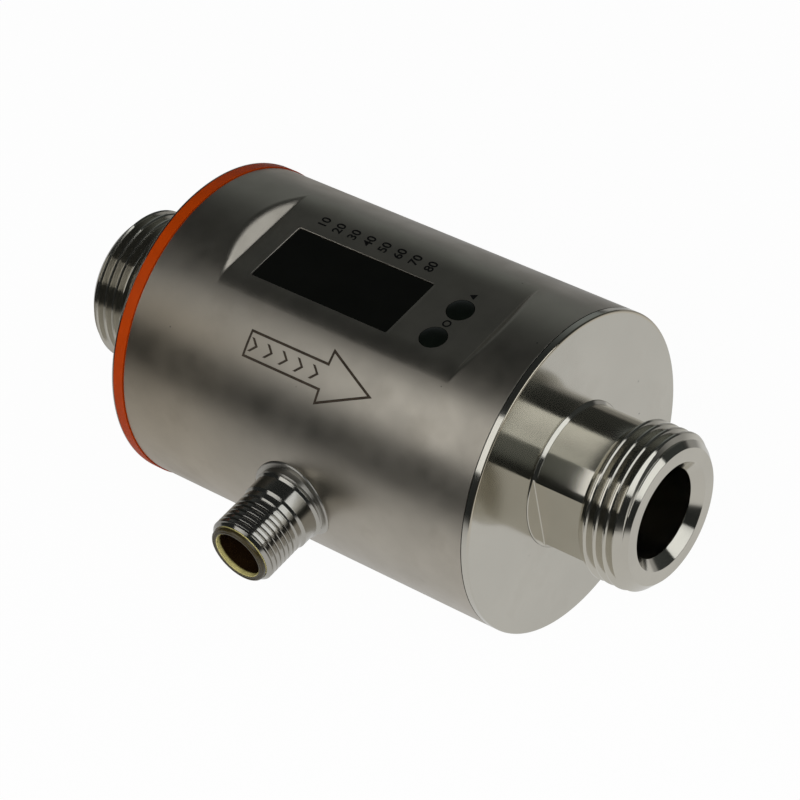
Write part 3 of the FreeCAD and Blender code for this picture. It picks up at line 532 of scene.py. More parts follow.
def board_finish():
    """Green solder mask over copper tracks."""
    solder = (0.55, 0.5, 0.4)
    material, tree, coords = new_finish("circuit board")
    mask, tracks = put(
        tree, "ShaderNodeTexBrick", Vector=coords, Scale=260.0, Mortar_Size=0.035,
        Color1=(0.012, 0.1, 0.035, 1), Color2=(0.02, 0.13, 0.05, 1), Mortar=(0.05, 0.24, 0.09, 1)).outputs
    base = speckled(tree, coords, mask, solder, amount=0.3, scale=330, size=0.4)
    return finished(material, Base_Color=base, Normal=bumped(tree, tracks, strength=0.3, depth=0.03 * MM),
                    Roughness=mottled(tree, coords, scale=300, low=0.28, high=0.42))


def make_finishes(finish, plug):
    """Every finish of the meter by the record's material slot."""
    flow_axis = ((0, 0, 0), FLOW_AXIS)
    plug_axis = ((plug.along, 0, 0), PLUG_AXIS)

    def tint(name):
        return tuple(getattr(finish, name))

    return {
        "housing_steel": metal(
            "blasted steel", tint("housing"), shade=0.075, rough=(0.3, 0.39), mottle=70, specks=0.16,
            stain=0.1, grain=0.004 * MM, grain_scale=4200, warm=(tint("housing_warm"), 2 * MM, -30 * MM)),
        "plate_steel": metal(
            "ground steel", tint("plate"), shade=0.03, rough=(0.13, 0.16), mottle=60, specks=0.1,
            speck_scale=330, stain=0.05, axis="R", lines=2600, line_depth=0.00015 * MM, spun=flow_axis,
            straw=(tint("plate_straw"), PLATE_HIGH.x + 0.12 * MM)),
        "fitting_steel": metal(
            "turned steel", tint("fitting"), shade=0.03, rough=(0.12, 0.15), mottle=110, axis="X", lines=5200,
            line_depth=0.0003 * MM, spun=flow_axis),
        "connector_steel": metal(
            "bright turned steel", tint("plug"), shade=0.04, rough=(0.13, 0.17), mottle=160, axis="Y",
            lines=6400, line_depth=0.0005 * MM, spun=plug_axis, blasted=-TUBE_HIGH.y - 0.95 * MM),
        "ring_orange": moulded(
            "orange moulding", tint("ring"), shade=0.07, rough=(0.38, 0.5), mottle=260, grain=0.012 * MM,
            specks=0.04, level=0.12),
        "window_black": moulded(
            "black pane", tint("window"), shade=0.2, rough=(0.05, 0.09), mottle=120, grain=0.0004 * MM,
            specks=0.03, level=0.22),
        "button_rubber": moulded(
            "black rubber", tint("rubber"), shade=0.2, rough=(0.2, 0.28), mottle=500, grain=0.003 * MM,
            grain_scale=5200, specks=0.03, level=0.18),
        "insert_amber": amber_finish(finish, plug),
        "contact_gold": metal(
            "gilt contact", (0.78, 0.53, 0.2), rough=(0.14, 0.22), mottle=600, axis="Y", lines=5000,
            line_depth=0.001 * MM),
        "liner_plastic": moulded(
            "natural liner", (0.5, 0.43, 0.33), shade=0.08, rough=(0.3, 0.42), mottle=120),
        "inner_steel": metal(
            "plain turned steel", (0.52, 0.5, 0.47), shade=0.05, rough=(0.2, 0.3), mottle=300, axis="Z",
            line_depth=0.002 * MM),
        "seal_rubber": moulded(
            "seal rubber", (0.018, 0.018, 0.018), shade=0.2, rough=(0.45, 0.6), mottle=500, grain_scale=4200),
        "magnet_iron": metal(
            "annealed iron", (0.26, 0.255, 0.25), shade=0.15, rough=(0.42, 0.56), mottle=160, specks=0.3,
            grain=0.02 * MM, grain_scale=1800),
        "bobbin_plastic": moulded(
            "black moulding", (0.045, 0.045, 0.05), shade=0.15, rough=(0.38, 0.52), mottle=260),
        "winding_copper": winding_finish(),
        "board_green": board_finish(),
        "chip_black": moulded(
            "component black", (0.02, 0.02, 0.022), shade=0.15, rough=(0.4, 0.55), mottle=700,
            grain=0.012 * MM, grain_scale=4600),
        "plunger_plastic": moulded(
            "white moulding", (0.62, 0.61, 0.58), shade=0.06, rough=(0.35, 0.48), mottle=500),
        "lamp_plastic": moulded(
            "clear lamp", (0.55, 0.58, 0.5), shade=0.08, rough=(0.1, 0.2), mottle=900, coat=0.4),
        "flex_amber": moulded(
            "amber film", (0.45, 0.2, 0.03), shade=0.12, rough=(0.2, 0.32), mottle=500, coat=0.2),
        "lead_grey": moulded(
            "grey sheath", (0.3, 0.3, 0.31), shade=0.08, rough=(0.4, 0.52), mottle=600),
        "printed_mark": moulded(
            "black print", tint("ink"), shade=0.2, rough=(0.5, 0.65), mottle=900, grain=0.004 * MM,
            level=0.1),
        "etched_mark": moulded(
            "etched oxide", tint("etch"), shade=0.25, rough=(0.5, 0.65), mottle=900, grain=0.006 * MM,
            level=0.2),
    }


FINISHES = {}


def finish_of(slot, settings):
    """The finish of a material slot, made once for all pieces."""
    if not FINISHES:
        FINISHES.update(make_finishes(settings.finish, settings.plug))
    return FINISHES[slot]


# Meshes

def new_object(name, data):
    """Object in the scene."""
    item = bpy.data.objects.new(name, data)
    bpy.context.scene.collection.objects.link(item)
    return item


def evaluated_mesh(item):
    """Mesh of an object with its modifiers, or of a text object."""
    return bpy.data.meshes.new_from_object(item.evaluated_get(bpy.context.evaluated_depsgraph_get()))


def mesh_of(bm, name="piece"):
    """Mesh of a bmesh, which is freed."""
    mesh = bpy.data.meshes.new(name)
    bm.to_mesh(mesh)
    bm.free()
    return mesh


def all_of(bm):
    """Everything in a bmesh."""
    return bm.verts[:] + bm.edges[:] + bm.faces[:]


def verts_of(geometry):
    """The vertices among what a bmesh operator gives back."""
    return [item for item in geometry if isinstance(item, bmesh.types.BMVert)]


def round_off(bm, geometry, offset, segments, affect="EDGES", clamp=False):
    """Round off edges or corners."""
    bmesh.ops.bevel(bm, geom=geometry, offset=offset, offset_type="OFFSET", affect=affect, segments=segments,
                    profile=0.5, material=-1, clamp_overlap=clamp)


def quarter(radius, bends):
    """Points of a quarter circle about the origin, as (place, height), from its top to its end."""
    turns = [step / bends * TURN / 4 for step in range(bends + 1)]
    return [(radius * math.sin(turn), radius * math.cos(turn)) for turn in turns]


def spread(*stops):
    """Places from stop to stop; each stop is (place, number of steps from the one before)."""
    places = [stops[0]]
    for place, count in stops[1:]:
        first = places[-1]
        places.extend(first + (place - first) * step / count for step in range(1, count + 1))
    return places


def section_of(profile):
    """Bmesh with a section in the XZ plane and its corners, from (place, radius) pairs."""
    bm = bmesh.new()
    corners = [bm.verts.new((along, 0, radius)) for along, radius in profile]
    bm.faces.new(corners)
    return bm, corners


def turned(profile, steps, ease=0.0):
    """Bmesh of a profile, as (place, radius) corners, turned about X; ease rounds every corner."""
    bm, corners = section_of(profile)
    if ease:
        outer = [corner for corner in corners if corner.co.z > WELD]
        round_off(bm, outer, ease, segments=2, affect="VERTICES", clamp=True)
    bmesh.ops.delete(bm, geom=bm.faces[:], context="FACES_ONLY")
    on_axis = [edge for edge in bm.edges if max(vert.co.z for vert in edge.verts) < WELD]
    bmesh.ops.delete(bm, geom=on_axis, context="EDGES")
    bmesh.ops.spin(bm, geom=bm.verts[:] + bm.edges[:], cent=(0, 0, 0), axis=FLOW_AXIS, angle=TURN,
                   steps=steps, use_merge=True)
    bmesh.ops.remove_doubles(bm, verts=bm.verts[:], dist=WELD)
    bmesh.ops.recalc_face_normals(bm, faces=bm.faces[:])
    return bm


def block(low, high):
    """Bmesh of a block between two corners."""
    bm = bmesh.new()
    low, high = Vector(low), Vector(high)
    size = Matrix.Diagonal((*(high - low), 1))
    bmesh.ops.create_cube(bm, size=1, matrix=Matrix.Translation((low + high) / 2) @ size)
    return bm


def drum(radius, low, high, steps):
    """Bmesh of a plain bar along X, used as a cutter."""
    return turned([(low, 0), (low, radius), (high, radius), (high, 0)], steps)


def moved(bm, matrix):
    """The bmesh, turned and shifted by a matrix."""
    bmesh.ops.transform(bm, matrix=matrix, verts=bm.verts[:])
    return bm


def thread_groove(thread, crest, start, turns, steps, soft, run_out=0.0):
    """Cutter of one helical groove about X: root flat, two flanks, and softened shoulders at the crests."""
    pitch, depth = thread.pitch, thread.depth
    shoulder = soft * depth
    lip = (pitch - thread.land) / 2
    flank_end = lip - shoulder
    root = flank_end - math.tan(thread.flank) * (depth - shoulder)
    lip_height, full_lift = crest + 0.02 * depth, 1.1 * depth
    half = [(root, crest - depth), (flank_end, crest - shoulder), (lip, lip_height), (lip, crest + depth)]
    mirrored = [(-along, radius) for along, radius in reversed(half)]
    bm, corners = section_of([(start + along, radius) for along, radius in half + mirrored])
    root_corners, root_ease = [corners[0], corners[-1]], 0.6 * root
    round_off(bm, root_corners, root_ease, segments=2, affect="VERTICES")
    bmesh.ops.delete(bm, geom=bm.faces[:], context="FACES_ONLY")
    bmesh.ops.spin(bm, geom=bm.verts[:] + bm.edges[:], cent=(0, 0, 0), axis=FLOW_AXIS,
                   dvec=(pitch / steps, 0, 0), angle=TURN * turns, steps=steps * turns, use_merge=False)
    bmesh.ops.holes_fill(bm, edges=[edge for edge in bm.edges if edge.is_boundary], sides=0)
    if run_out:
        for vert in bm.verts:
            lift = max(1 - (vert.co.x - start) / run_out, 0) * full_lift
            outward = Vector((0, vert.co.y, vert.co.z)).normalized()
            vert.co += outward * lift
    bmesh.ops.recalc_face_normals(bm, faces=bm.faces[:])
    return bm


def cut_from(bm, *tools, operation="DIFFERENCE"):
    """Mesh of a bmesh with the tools taken away or joined on."""
    items = [new_object("stand_in", mesh_of(shape, "stand_in")) for shape in (bm, *tools)]
    for tool in items[1:]:
        step = items[0].modifiers.new("cut", "BOOLEAN")
        step.operation, step.solver, step.object = operation, "EXACT", tool
    mesh = evaluated_mesh(items[0])
    for item in items:
        spare = item.data
        bpy.data.objects.remove(item)
        bpy.data.meshes.remove(spare)
    if not mesh.polygons:
        raise RuntimeError("a boolean left nothing of its piece")
    return mesh


def show(name, mesh, slot, settings, replaced=(), body=BODY, finish=None, crease=8):
    """Put a finished mesh into the scene as a piece of the meter; edges over the crease angle stay sharp."""
    mesh.name = name
    piece = new_object(name, mesh)
    mesh.materials.clear()
    mesh.materials.append(finish_of(finish or slot, settings))
    mesh.shade_smooth()
    mesh.set_sharp_from_angle(angle=math.radians(crease))
    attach(piece, body)
    if replaced:
        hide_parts(*replaced)
    return piece


def rolled_shell(stations, angles):
    """Grid over stations, as (place, rule for the radius there), and angles, rolled about X and welded."""
    columns, rows = len(stations) - 1, len(angles) - 1
    bm = bmesh.new()
    bmesh.ops.create_grid(bm, x_segments=columns, y_segments=rows, size=0.5)
    for vert in bm.verts:
        along, radius_at = stations[round((vert.co.x + 0.5) * columns)]
        angle = angles[round((vert.co.y + 0.5) * rows)]
        radius = radius_at(along, angle)
        vert.co = (along, -radius * math.sin(angle), radius * math.cos(angle))
    bmesh.ops.remove_doubles(bm, verts=bm.verts[:], dist=WELD)
    bmesh.ops.recalc_face_normals(bm, faces=bm.faces[:])
    return bm


def soft_min(first, second, reach):
    """The lower of two values, with the corner between them rounded off."""
    near = max(reach - abs(first - second), 0) / reach
    return min(first, second) - near * near * reach / 4


def pressed_radius(housing, radius, floor, rear, front):
    """Radius of the tube's surface at a place and angle, with the recess pressed in."""
    slope = (housing.radius - housing.recess_floor) / housing.ramp_run
    steepest = math.radians(70)

    def at(along, angle):
        if abs(angle) > steepest:
            return radius
        rise = max(rear - along, along - front) * slope
        level = floor - soft_min(0.0, -rise, housing.crease_blend)
        steep = min(max(rise / housing.ramp_blend, 0), 1)
        reach = housing.side_blend + (housing.ramp_blend - housing.side_blend) * steep
        return soft_min(radius, level / math.cos(angle), reach)
    return at


def pressed_tube(housing):
    """Closed bmesh of the housing tube: outer and inner sheet joined at both ends."""
    rear, front = TUBE_LOW.x, PLATE_HIGH.x - housing.plate_rim - housing.plate_seam
    floor_rear, floor_front, run = housing.recess_rear, housing.recess_front, housing.ramp_run
    wall, ease = housing.wall, housing.end_ease
    slope = run / (housing.radius - housing.recess_floor)
    shift = wall * (math.sqrt(1 + slope * slope) - slope)
    outer_at = pressed_radius(housing, housing.radius, housing.recess_floor, floor_rear, floor_front)
    inner_at = pressed_radius(
        housing, housing.radius - wall, housing.recess_floor - wall, floor_rear - shift, floor_front + shift)

    def eased(along, angle):
        return outer_at(along, angle) - max(ease - min(along - rear, front - along), 0)

    margin, crease, edge = 1.4 * MM, 0.4 * MM, math.radians(40)
    fine, dense, coarse = 40, 150, 56
    outer_places = spread(
        rear, (rear + ease, 1), (floor_rear - run - margin, 8), (floor_rear + crease, fine),
        (floor_front - crease, fine), (floor_front + run + margin, fine), (front - ease, 6), (front, 1))
    inner_places = spread(
        rear, (floor_rear - run - margin, 2), (floor_rear, 6), (floor_front, 4),
        (floor_front + run + margin, 6), (front, 2))
    angles = spread(-TURN / 2, (-edge, coarse), (edge, dense), (TURN / 2, coarse))
    stations = [(along, eased) for along in outer_places]
    stations += [(along, inner_at) for along in reversed(inner_places)]
    return rolled_shell(stations + stations[:1], angles)


def flared_opening(low, high, bottom, top, level, ease):
    """Cutter for an opening with round corners, whose edge is rounded off where it meets a level."""
    bm = block((*low, bottom), (*high, level - ease))
    upright = [edge for edge in bm.edges if abs(edge.verts[0].co.z - edge.verts[1].co.z) > ease]
    round_off(bm, upright, offset=0.3 * MM, segments=3)
    middle = Vector(((low[0] + high[0]) / 2, (low[1] + high[1]) / 2, 0))
    size = Vector((high[0] - low[0], high[1] - low[1]))
    flare = [(ease - inward, level - ease + height) for height, inward in quarter(ease, 4)[1:]]
    grown = 0
    for outward, height in flare + [(ease, top)]:
        cap = max(bm.faces, key=lambda face: face.calc_center_median().z)
        raised = bmesh.ops.extrude_discrete_faces(bm, faces=[cap])["faces"][0]
        growth = [(side + 2 * outward) / (side + 2 * grown) for side in size]
        bmesh.ops.scale(bm, vec=(*growth, 1), space=Matrix.Translation(-middle), verts=raised.verts[:])
        bmesh.ops.translate(bm, vec=(0, 0, height - raised.calc_center_median().z), verts=raised.verts[:])
        grown = outward
    bmesh.ops.recalc_face_normals(bm, faces=bm.faces[:])
    return bm


def pane_limits(grow=0.0):
    """Rear-left and front-right corner of the window's pane, from its wider flange."""
    lip = PANE_LIP - grow
    return (PANE_LOW.x + lip, PANE_LOW.y + lip), (PANE_HIGH.x - lip, PANE_HIGH.y - lip)


def button_spot(name):
    """Shift to a button's axis."""
    low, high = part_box(name)
    return Matrix.Translation(((low.x + high.x) / 2, (low.y + high.y) / 2, 0))


def plug_spot(plug):
    """Turn and shift from the flow axis to the plug's axis."""
    return Matrix.Translation((plug.along, 0, 0)) @ ALONG_PLUG


# Pieces

class FLOWMETER_OT_housing(Operator):
    """Housing tube with the pressed recess and its cut-outs"""
    bl_idname = "flowmeter.housing"
    bl_label = "Housing tube"

    def execute(self, context):
        settings = context.scene.flow_meter
        housing, floor = settings.housing, settings.housing.recess_floor
        gap, reach = 0.05 * MM, 3 * MM
        deep, high = floor - reach, floor + reach
        holes = [flared_opening(*pane_limits(gap), deep, high, floor, housing.window_ease)]
        for name in KEYS:
            hole = drum(housing.button_hole, deep, high, steps=48)
            holes.append(moved(hole, button_spot(name) @ ALONG_BUTTON))
        inside, outside = housing.radius - 7 * MM, housing.radius + 3 * MM
        holes.append(moved(drum(housing.plug_hole, inside, outside, steps=64), plug_spot(settings.plug)))
        mesh = cut_from(pressed_tube(housing), *holes)
        show("pressed_housing", mesh, "housing_steel", settings, ["housing_tube"], crease=15)
        return {"FINISHED"}


class FLOWMETER_OT_end_plates(Operator):
    """Outlet and inlet end plates"""
    bl_idname = "flowmeter.end_plates"
    bl_label = "End plates"

    def execute(self, context):
        settings = context.scene.flow_meter
        outlet, inlet = self.outlet(settings.housing), self.inlet()
        show("outlet_plate_ground", mesh_of(outlet), "plate_steel", settings, ["outlet_end_plate"])
        show("inlet_plate_ground", mesh_of(inlet), "plate_steel", settings, ["inlet_end_plate"])
        return {"FINISHED"}

    def outlet(self, housing):
        """Plate with a plain rim beside the tube, whose face clears the fitting's collar."""
        radius, ease, pocket = PLATE_HIGH.y, 0.3 * MM, 12.3 * MM
        inner, seat = PLATE_LOW.x, PLATE_HIGH.x
        rim, face = seat - housing.plate_rim, seat + housing.plate_proud
        round_rim = [(face - ease + along, radius - ease + out) for along, out in quarter(ease, 14)]
        return turned([
            (inner, PLATE_HOLE), (inner, SPIGOT), (rim, SPIGOT), (rim, radius), *round_rim,
            (face, radius - 1.3 * ease), (face, pocket), (seat, pocket), (seat, PLATE_HOLE)], PLATE_STEPS)

    def inlet(self):
        """Plate with a brim over the ring, and a collar with the seal's groove inside the tube."""
        face, inner, lip = REAR_PLATE_LOW.x, REAR_PLATE_HIGH.x, RING_LOW.x
        seat, collar, groove_floor = 24.0 * MM, 21.4 * MM, 22.85 * MM
        ease, brim, web = 0.3 * MM, PLATE_HIGH.y + 0.15 * MM, face + 3 * MM
        groove, groove_end = inner - 1.8 * MM, inner - 0.6 * MM
        round_brim = [(face + ease - along, brim - ease + out) for along, out in reversed(quarter(ease, 6))]
        return turned([
            (face, PLATE_HOLE), *round_brim, (lip, brim), (lip, seat), (groove, seat), (groove, groove_floor),
            (groove_end, groove_floor), (groove_end, seat), (inner, seat), (inner, collar), (web, collar),
            (web, PLATE_HOLE)], PLATE_STEPS, ease=0.03 * MM)


class FLOWMETER_OT_ring(Operator):
    """Orange ring between the housing and the inlet plate"""
    bl_idname = "flowmeter.ring"
    bl_label = "Ring"

    def execute(self, context):
        settings = context.scene.flow_meter
        rim, edge, seat = RING_HIGH.y, 0.14 * MM, 24.05 * MM
        rear, front, shoulder = RING_LOW.x, RING_HIGH.x, TUBE_LOW.x
        seam, seam_floor = shoulder - 0.18 * MM, rim - 0.4 * MM
        ring = turned([
            (rear, seat), (rear, rim - edge), (rear + edge, rim), (seam, rim), (seam, seam_floor),
            (shoulder, seam_floor), (shoulder, SPIGOT), (front, SPIGOT), (front, seat)],
            PLATE_STEPS, ease=0.04 * MM)
        show("moulded_ring", mesh_of(ring), "ring_orange", settings, ["housing_ring"])
        return {"FINISHED"}


class FLOWMETER_OT_fittings(Operator):
    """Two turned fittings with wrench flats and a pipe thread"""
    bl_idname = "flowmeter.fittings"
    bl_label = "Threaded fittings"

    def execute(self, context):
        settings = context.scene.flow_meter
        fitting = settings.fitting
        crest, neck_end = FITTING_HIGH.y, FITTING_HIGH.x - fitting.threaded
        groove = thread_groove(
            fitting, crest, fitting.thread_start, fitting.thread_turns, fitting.steps // 2, soft=0.18)
        flats = [self.flat(fitting.flat, neck_end, side) for side in (-1, 1)]
        outlet = cut_from(self.blank(fitting, crest, neck_end), *flats, groove)
        inlet = outlet.copy()
        inlet.transform(Matrix.Rotation(TURN / 2, 4, "Z"))
        show("outlet_fitting_threaded", outlet, "fitting_steel", settings, ["outlet_fitting"])
        show("inlet_fitting_threaded", inlet, "fitting_steel", settings, ["inlet_fitting"])
        return {"FINISHED"}

    def blank(self, fitting, crest, neck_end):
        """Turned fitting before its flats and its thread are cut."""
        shoulder, tip, plate = FITTING_LOW.x, FITTING_HIGH.x, PLATE_HIGH.x
        neck, toe, chamfer = fitting.neck, fitting.toe, fitting.chamfer
        bore, mouth = fitting.bore, fitting.mouth
        spigot, socket, socket_end = 11 * MM, 9.6 * MM, 27 * MM
        return turned([
            (shoulder, socket), (shoulder, spigot), (plate, spigot), (plate, neck + toe),
            (plate + toe, neck + toe), (plate + 2 * toe, neck), (neck_end, neck),
            (neck_end + crest - neck, crest), (tip - chamfer, crest), (tip, crest - chamfer), (tip, mouth),
            (tip - mouth + bore, bore), (socket_end, bore), (socket_end, socket)],
            fitting.steps, ease=0.05 * MM)

    def flat(self, place, neck_end, side):
        """Cutter for the wrench flat on one side, with a round foot."""
        start, wide = PLATE_HIGH.x + 0.6 * MM, 15 * MM
        low, high = sorted((side * place, side * wide))
        bm = block((start, low, -wide), (neck_end, high, wide))
        foot = [edge for edge in bm.edges if all(
            abs(vert.co.x - start) < WELD and abs(abs(vert.co.y) - place) < WELD for vert in edge.verts)]
        round_off(bm, foot, offset=0.18 * MM, segments=3)
        return bm


class FLOWMETER_OT_plug_shell(Operator):
    """Plug connector's shell: saddle foot, flange, collar and thread"""
    bl_idname = "flowmeter.plug_shell"
    bl_label = "Plug shell"

    def execute(self, context):
        settings = context.scene.flow_meter
        plug, tube, mouth = settings.plug, settings.housing.radius, -SHELL_LOW.y
        turns = math.ceil((mouth + plug.pitch - plug.run_out) / plug.pitch)
        groove = thread_groove(
            plug, plug.crest, plug.run_out, turns, steps=72, soft=0.35, run_out=0.7 * plug.pitch)
        mesh = cut_from(self.blank(plug, tube, mouth), groove)
        mesh.transform(plug_spot(plug))
        show("plug_shell_threaded", mesh, "connector_steel", settings, ["connector_shell"])
        return {"FINISHED"}

    def blank(self, plug, tube, mouth):
        """Turned shell before its thread is cut, with its foot laid on the tube."""
        inner, bore, stub = -SHELL_HIGH.y, 5.25 * MM, 5.7 * MM
        foot, flange, crest = plug.foot, (SHELL_HIGH.x - SHELL_LOW.x) / 2, plug.crest
        collar, bead, lip, relief = 6.2 * MM, 6.3 * MM, 6.6 * MM, 5.8 * MM
        dent, chamfer = crest - 0.25 * MM, 0.6 * MM
        foot_edge = flange + plug.foot_width - foot
        # Heights above the tube in millimetres, with the radius there
        outside = [
            (0.55, flange), (0.9, flange - 0.35 * MM), (1.0, bead), (1.15, bead), (1.2, lip), (1.6, collar),
            (4.25, collar), (4.65, relief), (5.0, relief), (5.0, crest), (5.75, crest), (6.0, dent),
            (6.15, dent), (6.3, crest)]
        shell = turned([
            (inner, bore), (inner, stub), (tube, stub),
            *((tube + out, foot_edge + across) for out, across in quarter(foot, 8)), (tube + foot, flange),
            *((tube + height * MM, radius) for height, radius in outside),
            (mouth - chamfer, crest), (mouth, crest - chamfer), (mouth, bore)], steps=128, ease=0.03 * MM)
        margin = 0.06 * MM
        for vert in shell.verts:
            radius = math.hypot(vert.co.y, vert.co.z)
            if -margin < vert.co.x - tube < foot + 0.04 * MM and radius > stub - margin:
                vert.co.x += math.sqrt(tube * tube - vert.co.z * vert.co.z) - tube
        return shell


class FLOWMETER_OT_plug_carrier(Operator):
    """Amber contact carrier with its key rib"""
    bl_idname = "flowmeter.plug_carrier"
    bl_label = "Contact carrier"

    def execute(self, context):
        settings = context.scene.flow_meter
        inner, mouth, cup = -INSERT_HIGH.y, -INSERT_LOW.y, settings.plug.cup
        flange, outer = (INSERT_HIGH.x - INSERT_LOW.x) / 2, 5.2 * MM
        flange_top, floor, rib_end, rib_half = inner + MM, mouth - 9 * MM, mouth - 4.6 * MM, 0.5 * MM
        # Millimetres below the mouth and inside the outer radius
        rim = [(0.22, 0), (0.05, 0.14), (0, 0.3), (0.1, 0.42), (0.1, 0.52), (0, 0.62)]
        carrier = turned([
            (inner, 0), (inner, flange), (flange_top, flange), (flange_top, outer),
            *((mouth - down * MM, outer - inward * MM) for down, inward in rim),
            (mouth, cup + 0.16 * MM), (mouth - 0.14 * MM, cup), (floor, cup), (floor, 0)], steps=96)
        rib = block((floor, -rib_half, cup - rib_half), (rib_end, rib_half, cup + rib_half))
        mesh = cut_from(carrier, rib, operation="UNION")
        mesh.transform(plug_spot(settings.plug))
        show("amber_carrier", mesh, "insert_amber", settings, ["connector_insert"])
        return {"FINISHED"}


class FLOWMETER_OT_contacts(Operator):
    """Four contact pins with rounded tips"""
    bl_idname = "flowmeter.contacts"
    bl_label = "Contacts"

    def execute(self, context):
        settings = context.scene.flow_meter
        plug, reach = settings.plug, settings.plug.contact_circle
        inner, tip, radius = -PIN_HIGH.y, -PIN_LOW.y, 0.5 * MM
        pin = moved(turned([
            (inner, 0), (inner, radius), (tip - 0.35 * MM, radius), (tip - 0.1 * MM, 0.75 * radius),
            (tip, 0.35 * radius), (tip, 0)], steps=24), ALONG_PLUG)
        first = all_of(pin)
        for across, up in ((-reach, 0), (0, reach), (0, -reach)):
            copies = bmesh.ops.duplicate(pin, geom=first)["geom"]
            bmesh.ops.translate(pin, verts=verts_of(copies), vec=(plug.along + across, 0, up))
        bmesh.ops.translate(pin, verts=verts_of(first), vec=(plug.along + reach, 0, 0))
        show("contact_pins_round", mesh_of(pin), "contact_gold", settings, ["contact_pins"], crease=50)
        return {"FINISHED"}


class FLOWMETER_OT_window(Operator):
    """Black pane with its hidden flange"""
    bl_idname = "flowmeter.window"
    bl_label = "Display window"

    def execute(self, context):
        settings = context.scene.flow_meter
        flange_top, face, tall = PANE_LOW.z + MM, PANE_HIGH.z, MM / 2
        pane = block(PANE_LOW, (PANE_HIGH.x, PANE_HIGH.y, flange_top))
        top = [side for side in pane.faces if side.normal.z > 0.5]
        bmesh.ops.inset_region(pane, faces=top, thickness=PANE_LIP, use_even_offset=True)
        raised = bmesh.ops.extrude_face_region(pane, geom=top)["geom"]
        bmesh.ops.translate(pane, verts=verts_of(raised), vec=(0, 0, face - flange_top))
        bmesh.ops.delete(pane, geom=top, context="FACES")
        upright = []
        for edge in pane.edges:
            low, high = sorted(vert.co.z for vert in edge.verts)
            if high - low > tall and high > flange_top + tall:
                upright.append(edge)
        round_off(pane, upright, offset=0.28 * MM, segments=3)
        brim = [edge for edge in pane.edges if all(abs(vert.co.z - face) < WELD for vert in edge.verts)]
        round_off(pane, brim, offset=0.07 * MM, segments=2)
        bmesh.ops.recalc_face_normals(pane, faces=pane.faces[:])
        show("window_pane", mesh_of(pane), "window_black", settings, ["display_window"])
        return {"FINISHED"}


class FLOWMETER_OT_buttons(Operator):
    """Two domed rubber buttons, each on its own key"""
    bl_idname = "flowmeter.buttons"
    bl_label = "Buttons"

    def execute(self, context):
        settings = context.scene.flow_meter
        radius, stem, dome, shoulder = 2.2 * MM, 1.2 * MM, 0.3 * MM, 0.12 * MM
        arc, spacing, fullness = 9, 0.8, 2.6
        flange_low, flange_high = 22.9 * MM, 23.45 * MM
        for name, body in KEYS.items():
            low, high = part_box(name)
            flange = (high.x - low.x) / 2
            profile = [(low.z, 0), (low.z, stem), (flange_low, stem), (flange_low, flange),
                       (flange_high, flange), (flange_high, radius), (high.z - dome - shoulder, radius)]
            for step in range(arc + 1):
                edge = radius * math.cos(step / arc * TURN / 4) ** spacing
                profile.append((high.z - dome * (edge / radius) ** fullness, edge if step < arc else 0))
            cap = moved(turned(profile, steps=64), button_spot(name) @ ALONG_BUTTON)
            show(f"{name}_domed", mesh_of(cap), "button_rubber", settings, [name], body, crease=40)
        return {"FINISHED"}


def hollow(bm, face, line):
    """Leave only the outline of a flat shape, as wide as a line."""
    bmesh.ops.inset_region(bm, faces=[face], thickness=line, use_boundary=True, use_even_offset=True)
    bmesh.ops.delete(bm, geom=[face], context="FACES_ONLY")


def plot(bm, corners):
    """Flat shape in the XY plane."""
    face = bm.faces.new([bm.verts.new((*corner, 0)) for corner in corners])
    face.normal_update()
    return face


def thicken(bm, depth):
    """Give flat marks a top above the metal and a foot that is sunk in it."""
    bmesh.ops.recalc_face_normals(bm, faces=bm.faces[:])
    raised = bmesh.ops.extrude_face_region(bm, geom=bm.faces[:])["geom"]
    bmesh.ops.translate(bm, verts=bm.verts[:], vec=(0, 0, -depth))
    bmesh.ops.translate(bm, verts=verts_of(raised), vec=(0, 0, 2 * depth))
    bmesh.ops.recalc_face_normals(bm, faces=bm.faces[:])


def figure_mesh(text, size, depth):
    """Mesh of a plain figure in the XY plane, centred on the origin."""
    curve, boldness = bpy.data.curves.new("figure", "FONT"), size / 50
    curve.body, curve.size, curve.extrude, curve.offset = text, size, depth, boldness
    curve.align_x, curve.align_y = "CENTER", "CENTER"
    item = new_object("figure", curve)
    mesh = evaluated_mesh(item)
    bpy.data.objects.remove(item)
    bpy.data.curves.remove(curve)
    return mesh


